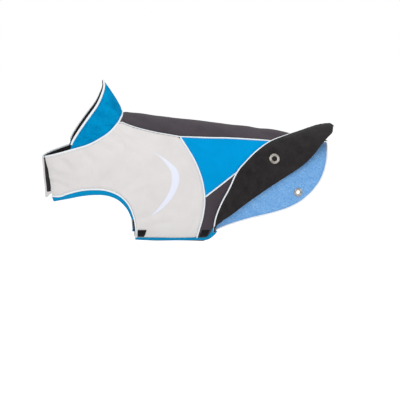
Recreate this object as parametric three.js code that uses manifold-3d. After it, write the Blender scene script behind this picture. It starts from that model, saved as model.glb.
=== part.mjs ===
// A dog's winter coat, worn, as an empty shell with its left skirt turned up.
// Millimetres. +Z is up, +X runs from the neck to the tail, and the wearer's left side is -Y.
// The origin is on the spine, at the outer face of the back panel.
import * as THREE from "three";
import Module from "manifold-3d";

const wasm = await Module();
wasm.setup();

const RAD = Math.PI / 180;

// The sizes were measured in one view of the left side, from a little ahead and a little above.
// "across" and "up" are millimetres at the middle plane, from the centre of that view.
const VIEW_TURN = 6 * RAD;
const VIEW_LIFT = 8 * RAD;
const VIEW_DISTANCE = 2700;
const VIEW_CENTRE = new THREE.Vector3(0, 0, -160);

// Cloth thicknesses, and how the layers stack on the form. 0 is the outer face of the shell.
const SHELL = 1.5;
const GAP = 0.3;
const SEAM_HALF = 1.9;
const ARCH_HALF = 2.4;
const NAPE_HALF = 3;
const PIPING_WIDE = 1.55;
const PIPING_HIGH = 1.5;
const COLLAR_WIDE = 2.4;
const COLLAR_HALF = 3;
const LINING = 1.2;
const FLAP_SHELL_TOP = 3.9;
const FLAP_LINING_TOP = 5.9;
const FLAP_LINING = 1.4;
const INNER_TOP = -4.2;
const INNER = 1.6;
const ROLL = 4.6;
const FOLD_WIDE = 2.7;
const FOLD_TURNS = 4;
const FLAP_TUCK = 12;
const TUCK_LEAST = 0.6;
const TUCK_TAPER = [6, 11];
const FOLD_RISE = [10, 15];
const BAND_TOP = -3;
const BAND = 2;
const CHEST_LIFT = 3.2;
const HOOK = 1;
const INNER_DROP = 1.6;
const PIPING_SET = -0.5;
const INNER_PIPING_SET = -0.9;
const FLAP_PIPING_SET = 4;
const BINDING_TOP = 0.7;
const BINDING_TURN = 4.5;
const BINDING_REACH = 0.12;
const LARGE_HOLE = 5.2;
const LARGE_FLANGE = 10.2;
const SMALL_HOLE = 4;
const SMALL_FLANGE = 8.4;

// The form that the worn coat keeps: ribs from behind the rump to above the neck.
// top and low are the rib's ends on the middle plane, half is its half width,
// full swells its sides, and square flattens its underside.
const ribs = [
  { at: "past the tail", top: [290, 106], low: [290, -100], half: 56, full: 0.2, square: 0.2 },
  { at: "tail", top: [254, 119], low: [254, -96], half: 69, full: 0.25, square: 0.25 },
  { at: "rump", top: [204, 129], low: [204, -92], half: 79, full: 0.3, square: 0.3 },
  { at: "hip", top: [144, 140.6], low: [144, -88], half: 84, full: 0.35, square: 0.3 },
  { at: "loin", top: [80, 149.4], low: [80, -84], half: 86, full: 0.35, square: 0.3 },
  { at: "waist", top: [26, 155.6], low: [26, -81.6], half: 87, full: 0.35, square: 0.3 },
  { at: "ribs", top: [-28, 161.4], low: [-44, -81], half: 87, full: 0.35, square: 0.3 },
  { at: "girth", top: [-74, 167.4], low: [-104, -80.6], half: 85, full: 0.35, square: 0.3 },
  { at: "elbow", top: [-102, 170.8], low: [-168, -76], half: 82, full: 0.25, square: 0.2 },
  { at: "brisket", top: [-122, 173.2], low: [-240, -58], half: 78, full: 0.18, square: 0.12 },
  { at: "breast", top: [-137, 174.8], low: [-301, -12], half: 73, full: 0.12, square: 0.06 },
  { at: "chest", top: [-147, 176], low: [-311, 32], half: 68, full: 0.1, square: 0.05 },
  { at: "neck seam", top: [-155, 177], low: [-316, 87], half: 63, full: 0.08, square: 0.04 },
  { at: "nape", top: [-161, 192], low: [-323, 120], half: 60, full: 0.06, square: 0.03 },
  { at: "neck", top: [-173, 212], low: [-328, 150], half: 57, full: 0.06, square: 0.03 },
  { at: "collar edge", top: [-191, 238], low: [-333, 180], half: 54, full: 0.06, square: 0.03 },
  { at: "above the collar", top: [-206, 264], low: [-338, 208], half: 52, full: 0.06, square: 0.03 },
];
const NAPE_RIB = 12;
const NAPE_SAG = 0.0009;
const COLLAR_RIB = 15.1;
const COLLAR_STEPS = 28;
const MOST_ROUND = 162;
const TOP_FULL = 0.1;
const TOP_SQUARE = 0.03;

// The turned-up flap stands higher than the rump towards the tail.
const flapRise = [38, 29.5, 11, 0.6];

// Seams of the left side, in the view's millimetres.
const neckSeam = [
  [-310, 86.4], [-284, 92.4], [-257, 100], [-225, 109.4], [-200, 122], [-180, 136], [-163, 155],
];
const backSeamFront = [[-157.6, 156.6], [-136, 148], [-110, 140.6], [-85, 135], [-59, 130.4], [-40.2, 127]];
const backSeamRear = [[-40.2, 127], [17, 124.8], [59, 124], [136, 119], [200, 110], [232, 103]];
const backSeamFar = [[-40.2, 127], [17, 124.8], [59, 124], [136, 119], [200, 108], [254, 96]];
const rearSeam = [[-40.2, 127], [-22.4, 99.2], [-8.4, 74], [3.2, 43.2], [8.2, 18], [9.4, 5]];
const rearSeamLow = [[9.4, 5], [9, -10], [5.6, -33.4], [0, -54], [-6.4, -76]];
const insertSeam = [[9.4, 5], [39.2, 28], [74.8, 55.8], [116, 86], [146, 109.5]];
const insertTop = [[-40.2, 127], [17, 124.8], [59, 124], [120, 120.4], [146, 118.4]];
const insertPoint = [158, 117.4];
const flankTop = [[158, 117.4], [200, 110], [226, 104.5]];
const legArch = [
  [-296.6, 7.4], [-280, 7], [-264, 12.6], [-238, 19], [-212.4, 21], [-187, 19],
  [-161.4, 8.8], [-144, -8], [-133, -32], [-128.4, -56], [-128, -76],
];
const facingEdge = [
  [-292.8, -2.8], [-264, 2.4], [-238, 7.4], [-212.4, 10], [-187, 8.8], [-164, 0], [-146, -18], [-136.4, -38],
];
const facingTop = [
  [-296.6, 7.4], [-280, 7], [-264, 12.6], [-238, 19], [-212.4, 21], [-187, 19],
  [-161.4, 8.8], [-144, -8], [-131, -40],
];
const hem = [[-128, -76], [-60, -77], [-6.4, -76]];
const hemRear = [[-6.4, -76], [11.4, -75.4], [20.4, -66], [25.8, -56]];
const chestEnd = [[-310, 86.4], [-302, 50], [-298, 25], [-296.6, 7.4]];
const foldLine = [
  [31, -59], [45, -47], [59, -35.6], [79, -18.6], [98.6, -3.6], [138, 24.2], [177.6, 49.8], [207.2, 69.6],
  [227, 89.4], [240.8, 107.2], [250.8, 119.5],
];
// The body's cloth ends short of the fold's end.
const flankFold = [...foldLine.slice(0, -2), [235, 99.5]];
const skirtEdge = [
  [30, -60], [59, -49], [98.6, -37.2], [134, -28.8], [154, -23.4], [177.6, -15.4], [203.4, -1.6], [223, 16],
];
const skirtRear = [[223, 16], [238.8, 36], [248.8, 58], [253.8, 81.4], [254.4, 96]];
const flapEdge = [
  [27.5, -66], [31.8, -37.2], [43.2, -7.6], [59, 22.2], [74.8, 55.8], [92.6, 77.4], [114.4, 99.2],
  [142, 119], [177.6, 132.8],
];
const flapRidge = [
  { rib: 1.9, round: 8 }, { rib: 1.45, round: 1 }, { rib: 1.05, round: 1 }, { rib: 0.86, round: 1 },
];
const flapNose = [268, 149.5];
const flapTip = [[250.8, 119.5], [257.1, 127.5], [263.5, 135], [268, 141.5], [269.8, 146]];
const collarEdge = [
  [-258, 108], [-253, 120], [-240.6, 140], [-222.6, 165.6], [-204.8, 191], [-194, 216], [-191, 230],
];
const collarTip = [-262, 98.6];
const frontPatch = [[-124.6, -73], [-112, -73], [-107, -60], [-124.2, -60]];
const rearPatch = [[-1.6, -73.4], [14.6, -72.2], [18.6, -60], [4.4, -60]];
const flapEyelet = [149, 82.4];
const skirtEyelet = [196.4, 15.4];

const colours = {
  grey: 0xdedbdb,
  charcoal: 0x4e4a4e,
  blue: 0x0096dc,
  collar: 0x008ccd,
  binding: 0x1478af,
  heather: 0x6ea5e6,
  black: 0x242223,
  piping: 0xf0faff,
  steel: 0xdcd7d2,
};

function material(colour, roughness = 0.9, metalness = 0) {
  return new THREE.MeshStandardMaterial({ color: colour, roughness, metalness });
}

// The measuring view

const ahead = new THREE.Vector3(
  Math.sin(VIEW_TURN) * Math.cos(VIEW_LIFT), Math.cos(VIEW_TURN) * Math.cos(VIEW_LIFT), -Math.sin(VIEW_LIFT),
);
const rightward = new THREE.Vector3(Math.cos(VIEW_TURN), -Math.sin(VIEW_TURN), 0);
const upward = new THREE.Vector3().crossVectors(rightward, ahead);

// Where a point shows in the measuring view.
function sight(point) {
  const seen = point.clone().sub(VIEW_CENTRE);
  const scale = VIEW_DISTANCE / (VIEW_DISTANCE + seen.dot(ahead));
  return [seen.dot(rightward) * scale, seen.dot(upward) * scale];
}

// The point of the middle plane that shows at a place of the view.
function onMiddlePlane(across, up) {
  const eye = VIEW_CENTRE.clone().addScaledVector(ahead, -VIEW_DISTANCE);
  const ray = ahead.clone().multiplyScalar(VIEW_DISTANCE);
  ray.addScaledVector(rightward, across).addScaledVector(upward, up);
  return eye.addScaledVector(ray, -eye.y / ray.y);
}

// The form

function catmull(before, from, to, after, t) {
  const a = 2 * from;
  const b = to - before;
  const c = 2 * before - 5 * from + 4 * to - after;
  const d = 3 * from - before - 3 * to + after;
  return 0.5 * (a + t * (b + t * (c + t * d)));
}

class Form {
  constructor(rows) {
    this.rows = rows.map((row) => {
      const top = onMiddlePlane(...row.top);
      const low = onMiddlePlane(...row.low);
      return [top.x, top.z, low.x, low.z, row.half, row.full, row.square];
    });
    this.chart = [];
    for (let rib = 0; rib <= this.rows.length - 1; rib += 0.25) {
      for (let round = 2; round <= MOST_ROUND - 4; round += 4) {
        this.chart.push({ rib, round, seen: sight(this.point({ rib, round })) });
      }
    }
  }

  row(rib) {
    const last = this.rows.length - 1;
    const i = Math.min(Math.max(Math.floor(rib), 0), last - 1);
    const pick = (n) => this.rows[Math.min(Math.max(n, 0), last)];
    const [before, from, to, after] = [pick(i - 1), pick(i), pick(i + 1), pick(i + 2)];
    return from.map((value, c) => catmull(before[c], value, to[c], after[c], rib - i));
  }

  // round is in degrees from the spine, positive down the left side.
  point({ rib, round }) {
    const [topX, topZ, lowX, lowZ, half, full, square] = this.row(rib);
    const c = Math.cos(round * RAD);
    const s = Math.sin(round * RAD);
    const lower = (1 - c) / 2;
    const along = c * (1 + (TOP_SQUARE + (square - TOP_SQUARE) * lower) * s * s);
    const aside = half * s * (1 + (TOP_FULL + (full - TOP_FULL) * lower) * c * c);
    const x = (topX + lowX) / 2 + (along * (topX - lowX)) / 2;
    const z = (topZ + lowZ) / 2 + (along * (topZ - lowZ)) / 2;
    return new THREE.Vector3(x, -aside, z);
  }

  normal({ rib, round }) {
    const step = 0.02;
    const length = this.point({ rib: rib - step, round }).sub(this.point({ rib: rib + step, round }));
    const girth = this.point({ rib, round: round + 1 }).sub(this.point({ rib, round: round - 1 }));
    return new THREE.Vector3().crossVectors(girth, length).normalize();
  }

  raised(place, height) {
    return this.point(place).addScaledVector(this.normal(place), height);
  }

  // The place of the form's left side that shows at a place of the view.
  locate(across, up, height) {
    const miss = (place) => {
      const seen = sight(this.raised(place, height(place)));
      return [seen[0] - across, seen[1] - up];
    };
    let best = this.chart[0];
    let least = Infinity;
    for (const spot of this.chart) {
      const far = Math.hypot(spot.seen[0] - across, spot.seen[1] - up);
      if (far < least) {
        least = far;
        best = spot;
      }
    }
    let place = { rib: best.rib, round: best.round };
    for (let turn = 0; turn < 12; turn++) {
      const [ex, ey] = miss(place);
      const [ax, ay] = miss({ rib: place.rib + 0.01, round: place.round });
      const [bx, by] = miss({ rib: place.rib, round: place.round + 0.1 });
      const [ka, kb] = [(ax - ex) / 0.01, (ay - ey) / 0.01];
      const [ra, rb] = [(bx - ex) / 0.1, (by - ey) / 0.1];
      const det = ka * rb - kb * ra;
      if (Math.abs(det) < 1e-6) break;
      const moveRib = THREE.MathUtils.clamp((-ex * rb + ey * ra) / det, -0.5, 0.5);
      const moveRound = THREE.MathUtils.clamp((-ka * ey + kb * ex) / det, -6, 6);
      place = {
        rib: THREE.MathUtils.clamp(place.rib + moveRib, 0, this.rows.length - 1),
        round: THREE.MathUtils.clamp(place.round + moveRound, 1, MOST_ROUND),
      };
    }
    return place;
  }
}

const body = new Form(ribs);
const risen = ({ top: [across, up] }, i) => [across, up + (flapRise[i] ?? 0)];
const wing = new Form(ribs.map((row, i) => ({ ...row, top: risen(row, i) })));

const flat = () => 0;
const smooth = (value, from, to) => THREE.MathUtils.smoothstep(value, from, to);

// The left chest end lies over the right one.
function chestLift({ rib, round }) {
  return round > 0 ? CHEST_LIFT * smooth(round, 112, 136) * smooth(rib, 8.4, 9.6) : 0;
}

// Seam paths

// A smooth line through places of the view, as evenly spaced places of the form.
function seam(points, steps, height = flat, form = body) {
  const line = new THREE.SplineCurve(points.map(([across, up]) => new THREE.Vector2(across, up)));
  return line.getSpacedPoints(steps).map((dot) => form.locate(dot.x, dot.y, height));
}

function spread(path, steps, form = body, early = 0, late = 0) {
  const spots = path.map((place) => form.point(place));
  const run = [0];
  for (let i = 1; i < spots.length; i++) run.push(run[i - 1] + spots[i].distanceTo(spots[i - 1]));
  const whole = run[run.length - 1] - early - late;
  const result = [];
  let i = 0;
  for (let n = 0; n <= steps; n++) {
    const target = early + (whole * n) / steps;
    while (i < spots.length - 2 && run[i + 1] < target) i++;
    const t = run[i + 1] > run[i] ? (target - run[i]) / (run[i + 1] - run[i]) : 0;
    result.push({
      rib: THREE.MathUtils.lerp(path[i].rib, path[i + 1].rib, t),
      round: THREE.MathUtils.lerp(path[i].round, path[i + 1].round, t),
    });
  }
  return result;
}

// Paths end to end. A path of more than one place starts where the one before it ends.
function joined(...paths) {
  return paths.reduce((all, path) => all.concat(all.length && path.length > 1 ? path.slice(1) : path), []);
}

const mirrored = (path) => path.map(({ rib, round }) => ({ rib, round: -round }));
const backwards = (path) => [...path].reverse();

// Sheets of cloth

// A grid of places between four edges. low and high run along, in lengths of [path, steps] that pair up,
// and start and end run across.
function patch(low, high, start, end, rungs, form = body) {
  const along = (lengths) => joined(...lengths.map(([path, count]) => spread(path, count, form)));
  const [l, h] = [along(low), along(high)];
  const [s, e] = [spread(start, rungs, form), spread(end, rungs, form)];
  const steps = l.length - 1;
  const grid = [];
  for (let i = 0; i <= steps; i++) {
    const u = i / steps;
    grid.push([]);
    for (let j = 0; j <= rungs; j++) {
      const v = j / rungs;
      const between = (a, b, key) => (1 - v) * a[key] + v * b[key];
      const mix = (key) => between(l[i], h[i], key) + (1 - u) * s[j][key] + u * e[j][key]
        - (1 - u) * between(l[0], h[0], key) - u * between(l[steps], h[steps], key);
      grid[i].push({ rib: mix("rib"), round: mix("round") });
    }
  }
  return grid;
}

function onForm(grid, height, form = body) {
  return grid.map((line) => line.map((place) => {
    const up = form.normal(place);
    return { point: form.point(place).addScaledVector(up, height(place)), up };
  }));
}

// Draws the edges of a grid in, square to each edge, so that neighbours stand apart.
function drawnIn(grid, { low = 0, high = 0, start = 0, end = 0 }) {
  const [n, m] = [grid.length - 1, grid[0].length - 1];
  return grid.map((line, i) => line.map((spot, j) => {
    const inward = (edge, within) => {
      const side = new THREE.Vector3().crossVectors(spot.up, edge).normalize();
      return side.dot(within) < 0 ? side.negate() : side;
    };
    const difference = (a, b) => a.point.clone().sub(b.point);
    const alongEdge = difference(grid[Math.min(i + 1, n)][j], grid[Math.max(i - 1, 0)][j]);
    const acrossEdge = difference(line[Math.min(j + 1, m)], line[Math.max(j - 1, 0)]);
    const pulls = [];
    if (j === 0) pulls.push([inward(alongEdge, acrossEdge), low]);
    if (j === m) pulls.push([inward(alongEdge, acrossEdge.clone().negate()), high]);
    if (i === 0) pulls.push([inward(acrossEdge, alongEdge), start]);
    if (i === n) pulls.push([inward(acrossEdge, alongEdge.clone().negate()), end]);
    const point = spot.point.clone();
    if (pulls.length === 1) point.addScaledVector(pulls[0][0], pulls[0][1]);
    if (pulls.length === 2) {
      const [[a, far], [b, wide]] = pulls;
      const lean = THREE.MathUtils.clamp(a.dot(b), -0.8, 0.8);
      const share = 1 - lean * lean;
      point.addScaledVector(a, (far - lean * wide) / share).addScaledVector(b, (wide - lean * far) / share);
    }
    return { point, up: spot.up };
  }));
}

// A closed sheet whose outer face is the grid.
function sheetGeometry(grid, thick) {
  const [n, m] = [grid.length, grid[0].length];
  const positions = [];
  for (const line of grid) for (const { point } of line) positions.push(...point.toArray());
  for (const line of grid) {
    for (const { point, up } of line) positions.push(...point.clone().addScaledVector(up, -thick).toArray());
  }
  const at = (i, j, layer) => layer * n * m + i * m + j;
  const faces = [];
  const quad = (a, b, c, d) => faces.push(a, b, c, a, c, d);
  for (let i = 0; i < n - 1; i++) {
    for (let j = 0; j < m - 1; j++) {
      quad(at(i, j, 0), at(i + 1, j, 0), at(i + 1, j + 1, 0), at(i, j + 1, 0));
      quad(at(i, j, 1), at(i, j + 1, 1), at(i + 1, j + 1, 1), at(i + 1, j, 1));
    }
    quad(at(i, 0, 1), at(i + 1, 0, 1), at(i + 1, 0, 0), at(i, 0, 0));
    quad(at(i, m - 1, 0), at(i + 1, m - 1, 0), at(i + 1, m - 1, 1), at(i, m - 1, 1));
  }
  for (let j = 0; j < m - 1; j++) {
    quad(at(0, j, 0), at(0, j + 1, 0), at(0, j + 1, 1), at(0, j, 1));
    quad(at(n - 1, j, 1), at(n - 1, j + 1, 1), at(n - 1, j + 1, 0), at(n - 1, j, 0));
  }
  return facingOut(positions, faces);
}

function facingOut(positions, faces) {
  let volume = 0;
  const corner = (n) => new THREE.Vector3(...positions.slice(3 * n, 3 * n + 3));
  for (let f = 0; f < faces.length; f += 3) {
    const [a, b, c] = [corner(faces[f]), corner(faces[f + 1]), corner(faces[f + 2])];
    volume += a.dot(b.cross(c));
  }
  const geometry = new THREE.BufferGeometry();
  geometry.setAttribute("position", new THREE.Float32BufferAttribute(positions, 3));
  if (volume < 0) faces.reverse();
  geometry.setIndex(faces);
  return geometry;
}

// Piping, a cord of six sides sewn into a seam.
function pipingGeometry(path, height, form = body, wide = PIPING_WIDE, high = PIPING_HIGH, sides = 6) {
  const spots = path.map((place) => {
    const up = form.normal(place);
    return { point: form.point(place).addScaledVector(up, height(place)), up };
  });
  const last = spots.length - 1;
  const positions = [];
  spots.forEach(({ point, up }, i) => {
    const run = spots[Math.min(i + 1, last)].point.clone().sub(spots[Math.max(i - 1, 0)].point).normalize();
    const side = new THREE.Vector3().crossVectors(run, up).normalize();
    for (let k = 0; k < sides; k++) {
      const turn = (2 * Math.PI * (k + 0.5)) / sides;
      const edge = point.clone().addScaledVector(side, wide * Math.cos(turn));
      edge.addScaledVector(up, high * Math.sin(turn));
      positions.push(...edge.toArray());
    }
  });
  const faces = [];
  for (let i = 0; i < last; i++) {
    for (let k = 0; k < sides; k++) {
      const [a, b] = [i * sides + k, i * sides + ((k + 1) % sides)];
      faces.push(a, b, b + sides, a, b + sides, a + sides);
    }
  }
  for (let k = 1; k < sides - 1; k++) {
    faces.push(0, k + 1, k);
    faces.push(last * sides, last * sides + k, last * sides + k + 1);
  }
  return facingOut(positions, faces);
}

const coat = new THREE.Group();

function add(name, geometry, colour, roughness, metalness) {
  const mesh = new THREE.Mesh(geometry, material(colour, roughness, metalness));
  mesh.name = name;
  geometry.computeVertexNormals();
  coat.add(mesh);
  return mesh;
}

// Grommet holes

function solidOf(geometry) {
  return new wasm.Manifold(new wasm.Mesh({
    numProp: 3,
    vertProperties: new Float32Array(geometry.getAttribute("position").array),
    triVerts: new Uint32Array(geometry.getIndex().array),
  }));
}

function geometryOf(solid) {
  const mesh = solid.getMesh();
  const geometry = new THREE.BufferGeometry();
  geometry.setAttribute("position", new THREE.BufferAttribute(mesh.vertProperties, 3));
  geometry.setIndex(new THREE.BufferAttribute(mesh.triVerts, 1));
  return geometry;
}

const turnedTo = (up) => new THREE.Quaternion().setFromUnitVectors(new THREE.Vector3(0, 1, 0), up);

function punched(geometry, spot, radius, deep = 9) {
  const sides = 14;
  const punch = new THREE.CylinderGeometry(radius, radius, deep, sides);
  punch.deleteAttribute("normal");
  punch.deleteAttribute("uv");
  punch.applyQuaternion(turnedTo(spot.up)).translate(...spot.point.toArray());
  const ring = [];
  const position = punch.getAttribute("position");
  for (let n = 0; n < sides; n++) ring.push([n, n + sides + 1]);
  const positions = [];
  for (const layer of [0, 1]) {
    for (const pair of ring) {
      const n = pair[layer];
      positions.push(position.getX(n), position.getY(n), position.getZ(n));
    }
  }
  const faces = [];
  for (let n = 0; n < sides; n++) {
    const next = (n + 1) % sides;
    faces.push(n, n + sides, next + sides, n, next + sides, next);
    if (n > 0 && n < sides - 1) faces.push(0, n, n + 1, sides, sides + n + 1, sides + n);
  }
  return geometryOf(solidOf(geometry).subtract(solidOf(facingOut(positions, faces))));
}

// Eyelets: a rolled flange outside, a barrel through the cloth and a thin flange inside.
// A rigid panel of cloth between the flanges is "through" thick, with its outer face at height 0.
function eyeletGeometry(hole, flange, through, hollowed) {
  const lift = hollowed ? 2 * GAP : 0;
  const clear = GAP + (hollowed ? 0 : 2 * GAP);
  const wall = 0.7;
  const crown = 1;
  const back = 0.6;
  const profile = [
    [hole, 0.5 + lift], [hole + 0.4, crown + lift], [(hole + flange) / 2, crown + 0.3 + lift],
    [flange - 0.5, crown - 0.1 + lift], [flange, GAP + 0.1 + lift], [flange - 0.3, GAP + lift],
    [hole + wall, GAP + lift], [hole + wall, -through - clear], [flange - 2, -through - clear],
    [flange - 2, -through - clear - back], [hole, -through - clear - back],
  ];
  const points = [...profile, profile[0]].map(([r, h]) => new THREE.Vector2(r, h));
  const sides = 14;
  const lathe = new THREE.LatheGeometry(points, sides);
  const ring = lathe.getAttribute("position");
  const count = profile.length;
  const positions = [];
  for (let n = 0; n < sides; n++) {
    for (let k = 0; k < count; k++) {
      const at = n * (count + 1) + k;
      positions.push(ring.getX(at), ring.getY(at), ring.getZ(at));
    }
  }
  const faces = [];
  for (let n = 0; n < sides; n++) {
    const next = (n + 1) % sides;
    for (let k = 0; k < count; k++) {
      const [a, b] = [n * count + k, n * count + ((k + 1) % count)];
      const [c, d] = [next * count + k, next * count + ((k + 1) % count)];
      faces.push(a, b, d, a, d, c);
    }
  }
  return facingOut(positions, faces);
}

function addEyelet(name, spot, hole, flange, through, hollowed = false) {
  const mesh = add(name, eyeletGeometry(hole, flange, through, hollowed), colours.steel, 0.3, 1);
  mesh.quaternion.copy(turnedTo(spot.up));
  mesh.position.copy(spot.point);
}

// Seams as places of the form

const last = (path) => path[path.length - 1];

// A line of the view moved aside, up and to the left of a line that rises to the right.
function aside(points, distance) {
  return points.map(([across, up], i) => {
    const from = points[Math.max(i - 1, 0)];
    const to = points[Math.min(i + 1, points.length - 1)];
    const run = Math.hypot(to[0] - from[0], to[1] - from[1]);
    return [across - (distance * (to[1] - from[1])) / run, up + (distance * (to[0] - from[0])) / run];
  });
}

const innerTop = ({ round }) => INNER_TOP - INNER_DROP * smooth(-round, 20, 60);
const TAIL = { rib: 1, round: 0 };
const INNER_FRONT_RIB = 5.2;

// The neck seam's last stretch, over the spine.
const nape = [-14, -7, 0, 7, 14].map((turn) => ({ rib: NAPE_RIB - NAPE_SAG * turn * turn, round: -turn }));

const neckLeft = seam(neckSeam, 26, chestLift);
const neckFar = mirrored(seam(neckSeam, 26));
const backCorner = seam(backSeamFront, 14);
const backLeft = seam(backSeamRear, 20);
const backFar = mirrored(seam(backSeamFar, 20));
const rearUpper = seam(rearSeam, 12);
const rearLower = seam(rearSeamLow, 8);
const insertLower = seam(insertSeam, 12);
const insertUpper = seam(insertTop, 16);
const insertApex = body.locate(...insertPoint, flat);
const flankUpper = seam(flankTop, 6);
const archLeft = seam(legArch, 30, chestLift);
const archFar = mirrored(seam(legArch, 30));
const ARCH_TURN = 17;
const hemLeft = seam(hem, 10);
const hemCorner = seam(hemRear, 4);
const chestLeft = seam(chestEnd, 8, chestLift);
const foldLeft = seam(aside(flankFold, ROLL), 24);
const skirtLow = seam(skirtEdge, 16);
const skirtBack = seam(skirtRear, 8);
const innerLow = seam(skirtEdge, 16, innerTop);
const innerBack = seam(skirtRear, 8, innerTop);

// The right chest end runs on under the left one.
const CHEST_TUCK = 218;
const tuckTop = { rib: NAPE_RIB - 0.05, round: -CHEST_TUCK };
const tuckLow = { rib: 10.42, round: -CHEST_TUCK };

const side = (far) => (far ? "right" : "left");
const flipped = (path, far) => (far ? mirrored(path) : path);
const lifted = (far, more = 0) => (place) => more + (far ? 0 : chestLift(place));

function addSheet(name, grid, height, edges, thick, colour, form = body) {
  return add(name, sheetGeometry(drawnIn(onForm(grid, height, form), edges), thick), colour);
}

// Panels

function sidePanel(far) {
  const neck = far ? neckFar : neckLeft;
  const arch = far ? archFar : archLeft;
  const high = [[neck, 14], [joined([last(neck)], flipped(backCorner, far)), 12]];
  const rest = joined(arch.slice(ARCH_TURN), flipped(hemLeft, far));
  const low = [[arch.slice(0, ARCH_TURN + 1), 14], [rest, 12]];
  if (far) high.unshift([[tuckTop, neckFar[0]], 4]);
  if (far) low.unshift([[tuckLow, archFar[0]], 4]);
  const start = far ? [tuckLow, tuckTop] : backwards(chestLeft);
  const end = backwards(flipped(joined(rearUpper, rearLower), far));
  const edges = { low: ARCH_HALF, high: SEAM_HALF, end: SEAM_HALF };
  const grid = patch(low, high, start, end, 11);
  addSheet("side_panel_" + side(far), grid, lifted(far), edges, SHELL, colours.grey);
}

function backPanel() {
  const low = [[joined([last(neckLeft)], backCorner), 6], [backLeft, 12]];
  const high = [[joined([last(neckFar)], mirrored(backCorner)), 6], [backFar, 12]];
  const start = joined([last(neckLeft)], nape, [last(neckFar)]);
  const foldTop = body.locate(245, 116, flat);
  const end = [last(backLeft), foldTop, TAIL, last(backFar)];
  const edges = { low: ARCH_HALF, high: ARCH_HALF, start: NAPE_HALF, end: 4 };
  addSheet("back_panel", patch(low, high, start, end, 8), flat, edges, SHELL, colours.charcoal);
}

function insert(far) {
  const [low, high] = [flipped(insertLower, far), flipped(insertUpper, far)];
  const start = backwards(flipped(rearUpper, far));
  const grid = patch([[low, 8]], [[high, 8]], start, [last(low), last(high)], 5);
  const edges = { low: SEAM_HALF, high: ARCH_HALF, start: SEAM_HALF, end: 2 };
  addSheet("side_insert_" + side(far), grid, flat, edges, SHELL, colours.blue);
}

function flankPanel() {
  const low = [[hemCorner, 3], [joined([last(hemCorner)], foldLeft), 13]];
  const high = [[insertLower, 10], [joined([last(insertLower)], flankUpper), 6]];
  const grid = patch(low, high, backwards(rearLower), [last(foldLeft), last(flankUpper)], 6);
  const edges = { low: SEAM_HALF, high: ARCH_HALF, start: SEAM_HALF, end: 2 };
  addSheet("flank_panel_left", grid, flat, edges, SHELL, colours.charcoal);
}

function skirtPanel() {
  const low = [[mirrored(hemCorner), 3], [mirrored(joined([last(hemCorner)], skirtLow)), 13]];
  const insertFar = mirrored(insertLower);
  const high = [[insertFar, 9], [joined([last(insertFar)], mirrored([insertApex]), backFar.slice(13)), 7]];
  const grid = patch(low, high, mirrored(backwards(rearLower)), mirrored(skirtBack), 8);
  const edges = { low: SEAM_HALF, high: NAPE_HALF, start: SEAM_HALF, end: SEAM_HALF };
  return sheetGeometry(drawnIn(onForm(grid, flat), edges), SHELL);
}

function innerSkirt() {
  const corner = body.locate(10, -60, innerTop);
  const low = joined([corner], innerLow);
  const front = [60, 0, -60].map((round) => ({ rib: INNER_FRONT_RIB, round }));
  const start = [corner, ...front, ...mirrored([corner])];
  const end = [...innerBack, TAIL, ...mirrored(backwards(innerBack))];
  const grid = patch([[low, 14]], [[mirrored(low), 14]], start, end, 14);
  const edges = { low: SEAM_HALF, high: SEAM_HALF, end: SEAM_HALF };
  return sheetGeometry(drawnIn(onForm(grid, innerTop), edges), INNER);
}

const overNape = joined([last(neckLeft)], nape);
const neckRing = joined(neckLeft, overNape, joined([last(nape)], backwards(neckFar)));

// The collar

const collarSeam = () => {
  const from = body.locate(...collarTip, flat);
  const kept = neckLeft.filter((place) => sight(body.point(place))[0] > collarTip[0] + 4);
  const near = joined([from], kept);
  return [...near, ...nape, ...mirrored(backwards(near))];
};
const collarRim = () => {
  const near = seam(collarEdge, 20);
  const top = last(near);
  const crown = [0.8, 0.6, 0.4, 0.2].map((share) => ({
    rib: COLLAR_RIB - (COLLAR_RIB - top.rib) * share * share, round: top.round * share,
  }));
  const half = [...near, ...crown];
  return [...half, { rib: COLLAR_RIB, round: 0 }, ...mirrored(backwards(half))];
};

function collar() {
  const [low, high] = [collarSeam(), collarRim()];
  const [start, end] = [[low[0], high[0]], [last(low), last(high)]];
  const grid = patch([[low, COLLAR_STEPS]], [[high, COLLAR_STEPS]], start, end, 5);
  const edges = { low: ARCH_HALF, high: COLLAR_HALF, start: 2, end: 2 };
  addSheet("collar", grid, flat, edges, SHELL, colours.collar);
  addSheet("collar_lining", grid, () => -SHELL - GAP, edges, LINING, colours.black);
}

// The turned-up flap. Its rolled edge starts inside the flank panel and ends on the flap.

function flapGrid() {
  const outer = () => FLAP_LINING_TOP;
  const fold = seam(aside(foldLine, ROLL), 20, outer, wing);
  const tip = seam(aside(flapTip, ROLL), 5, outer, wing);
  const low = [[fold, 15], [tip, 3]];
  const edge = seam(flapEdge, 20, outer, wing);
  const ridge = joined([last(edge)], flapRidge, [wing.locate(...flapNose, outer)]);
  const high = [[edge, 14], [ridge, 4]];
  return patch(low, high, [fold[0], edge[0]], [last(tip), last(ridge)], 7, wing);
}

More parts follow.
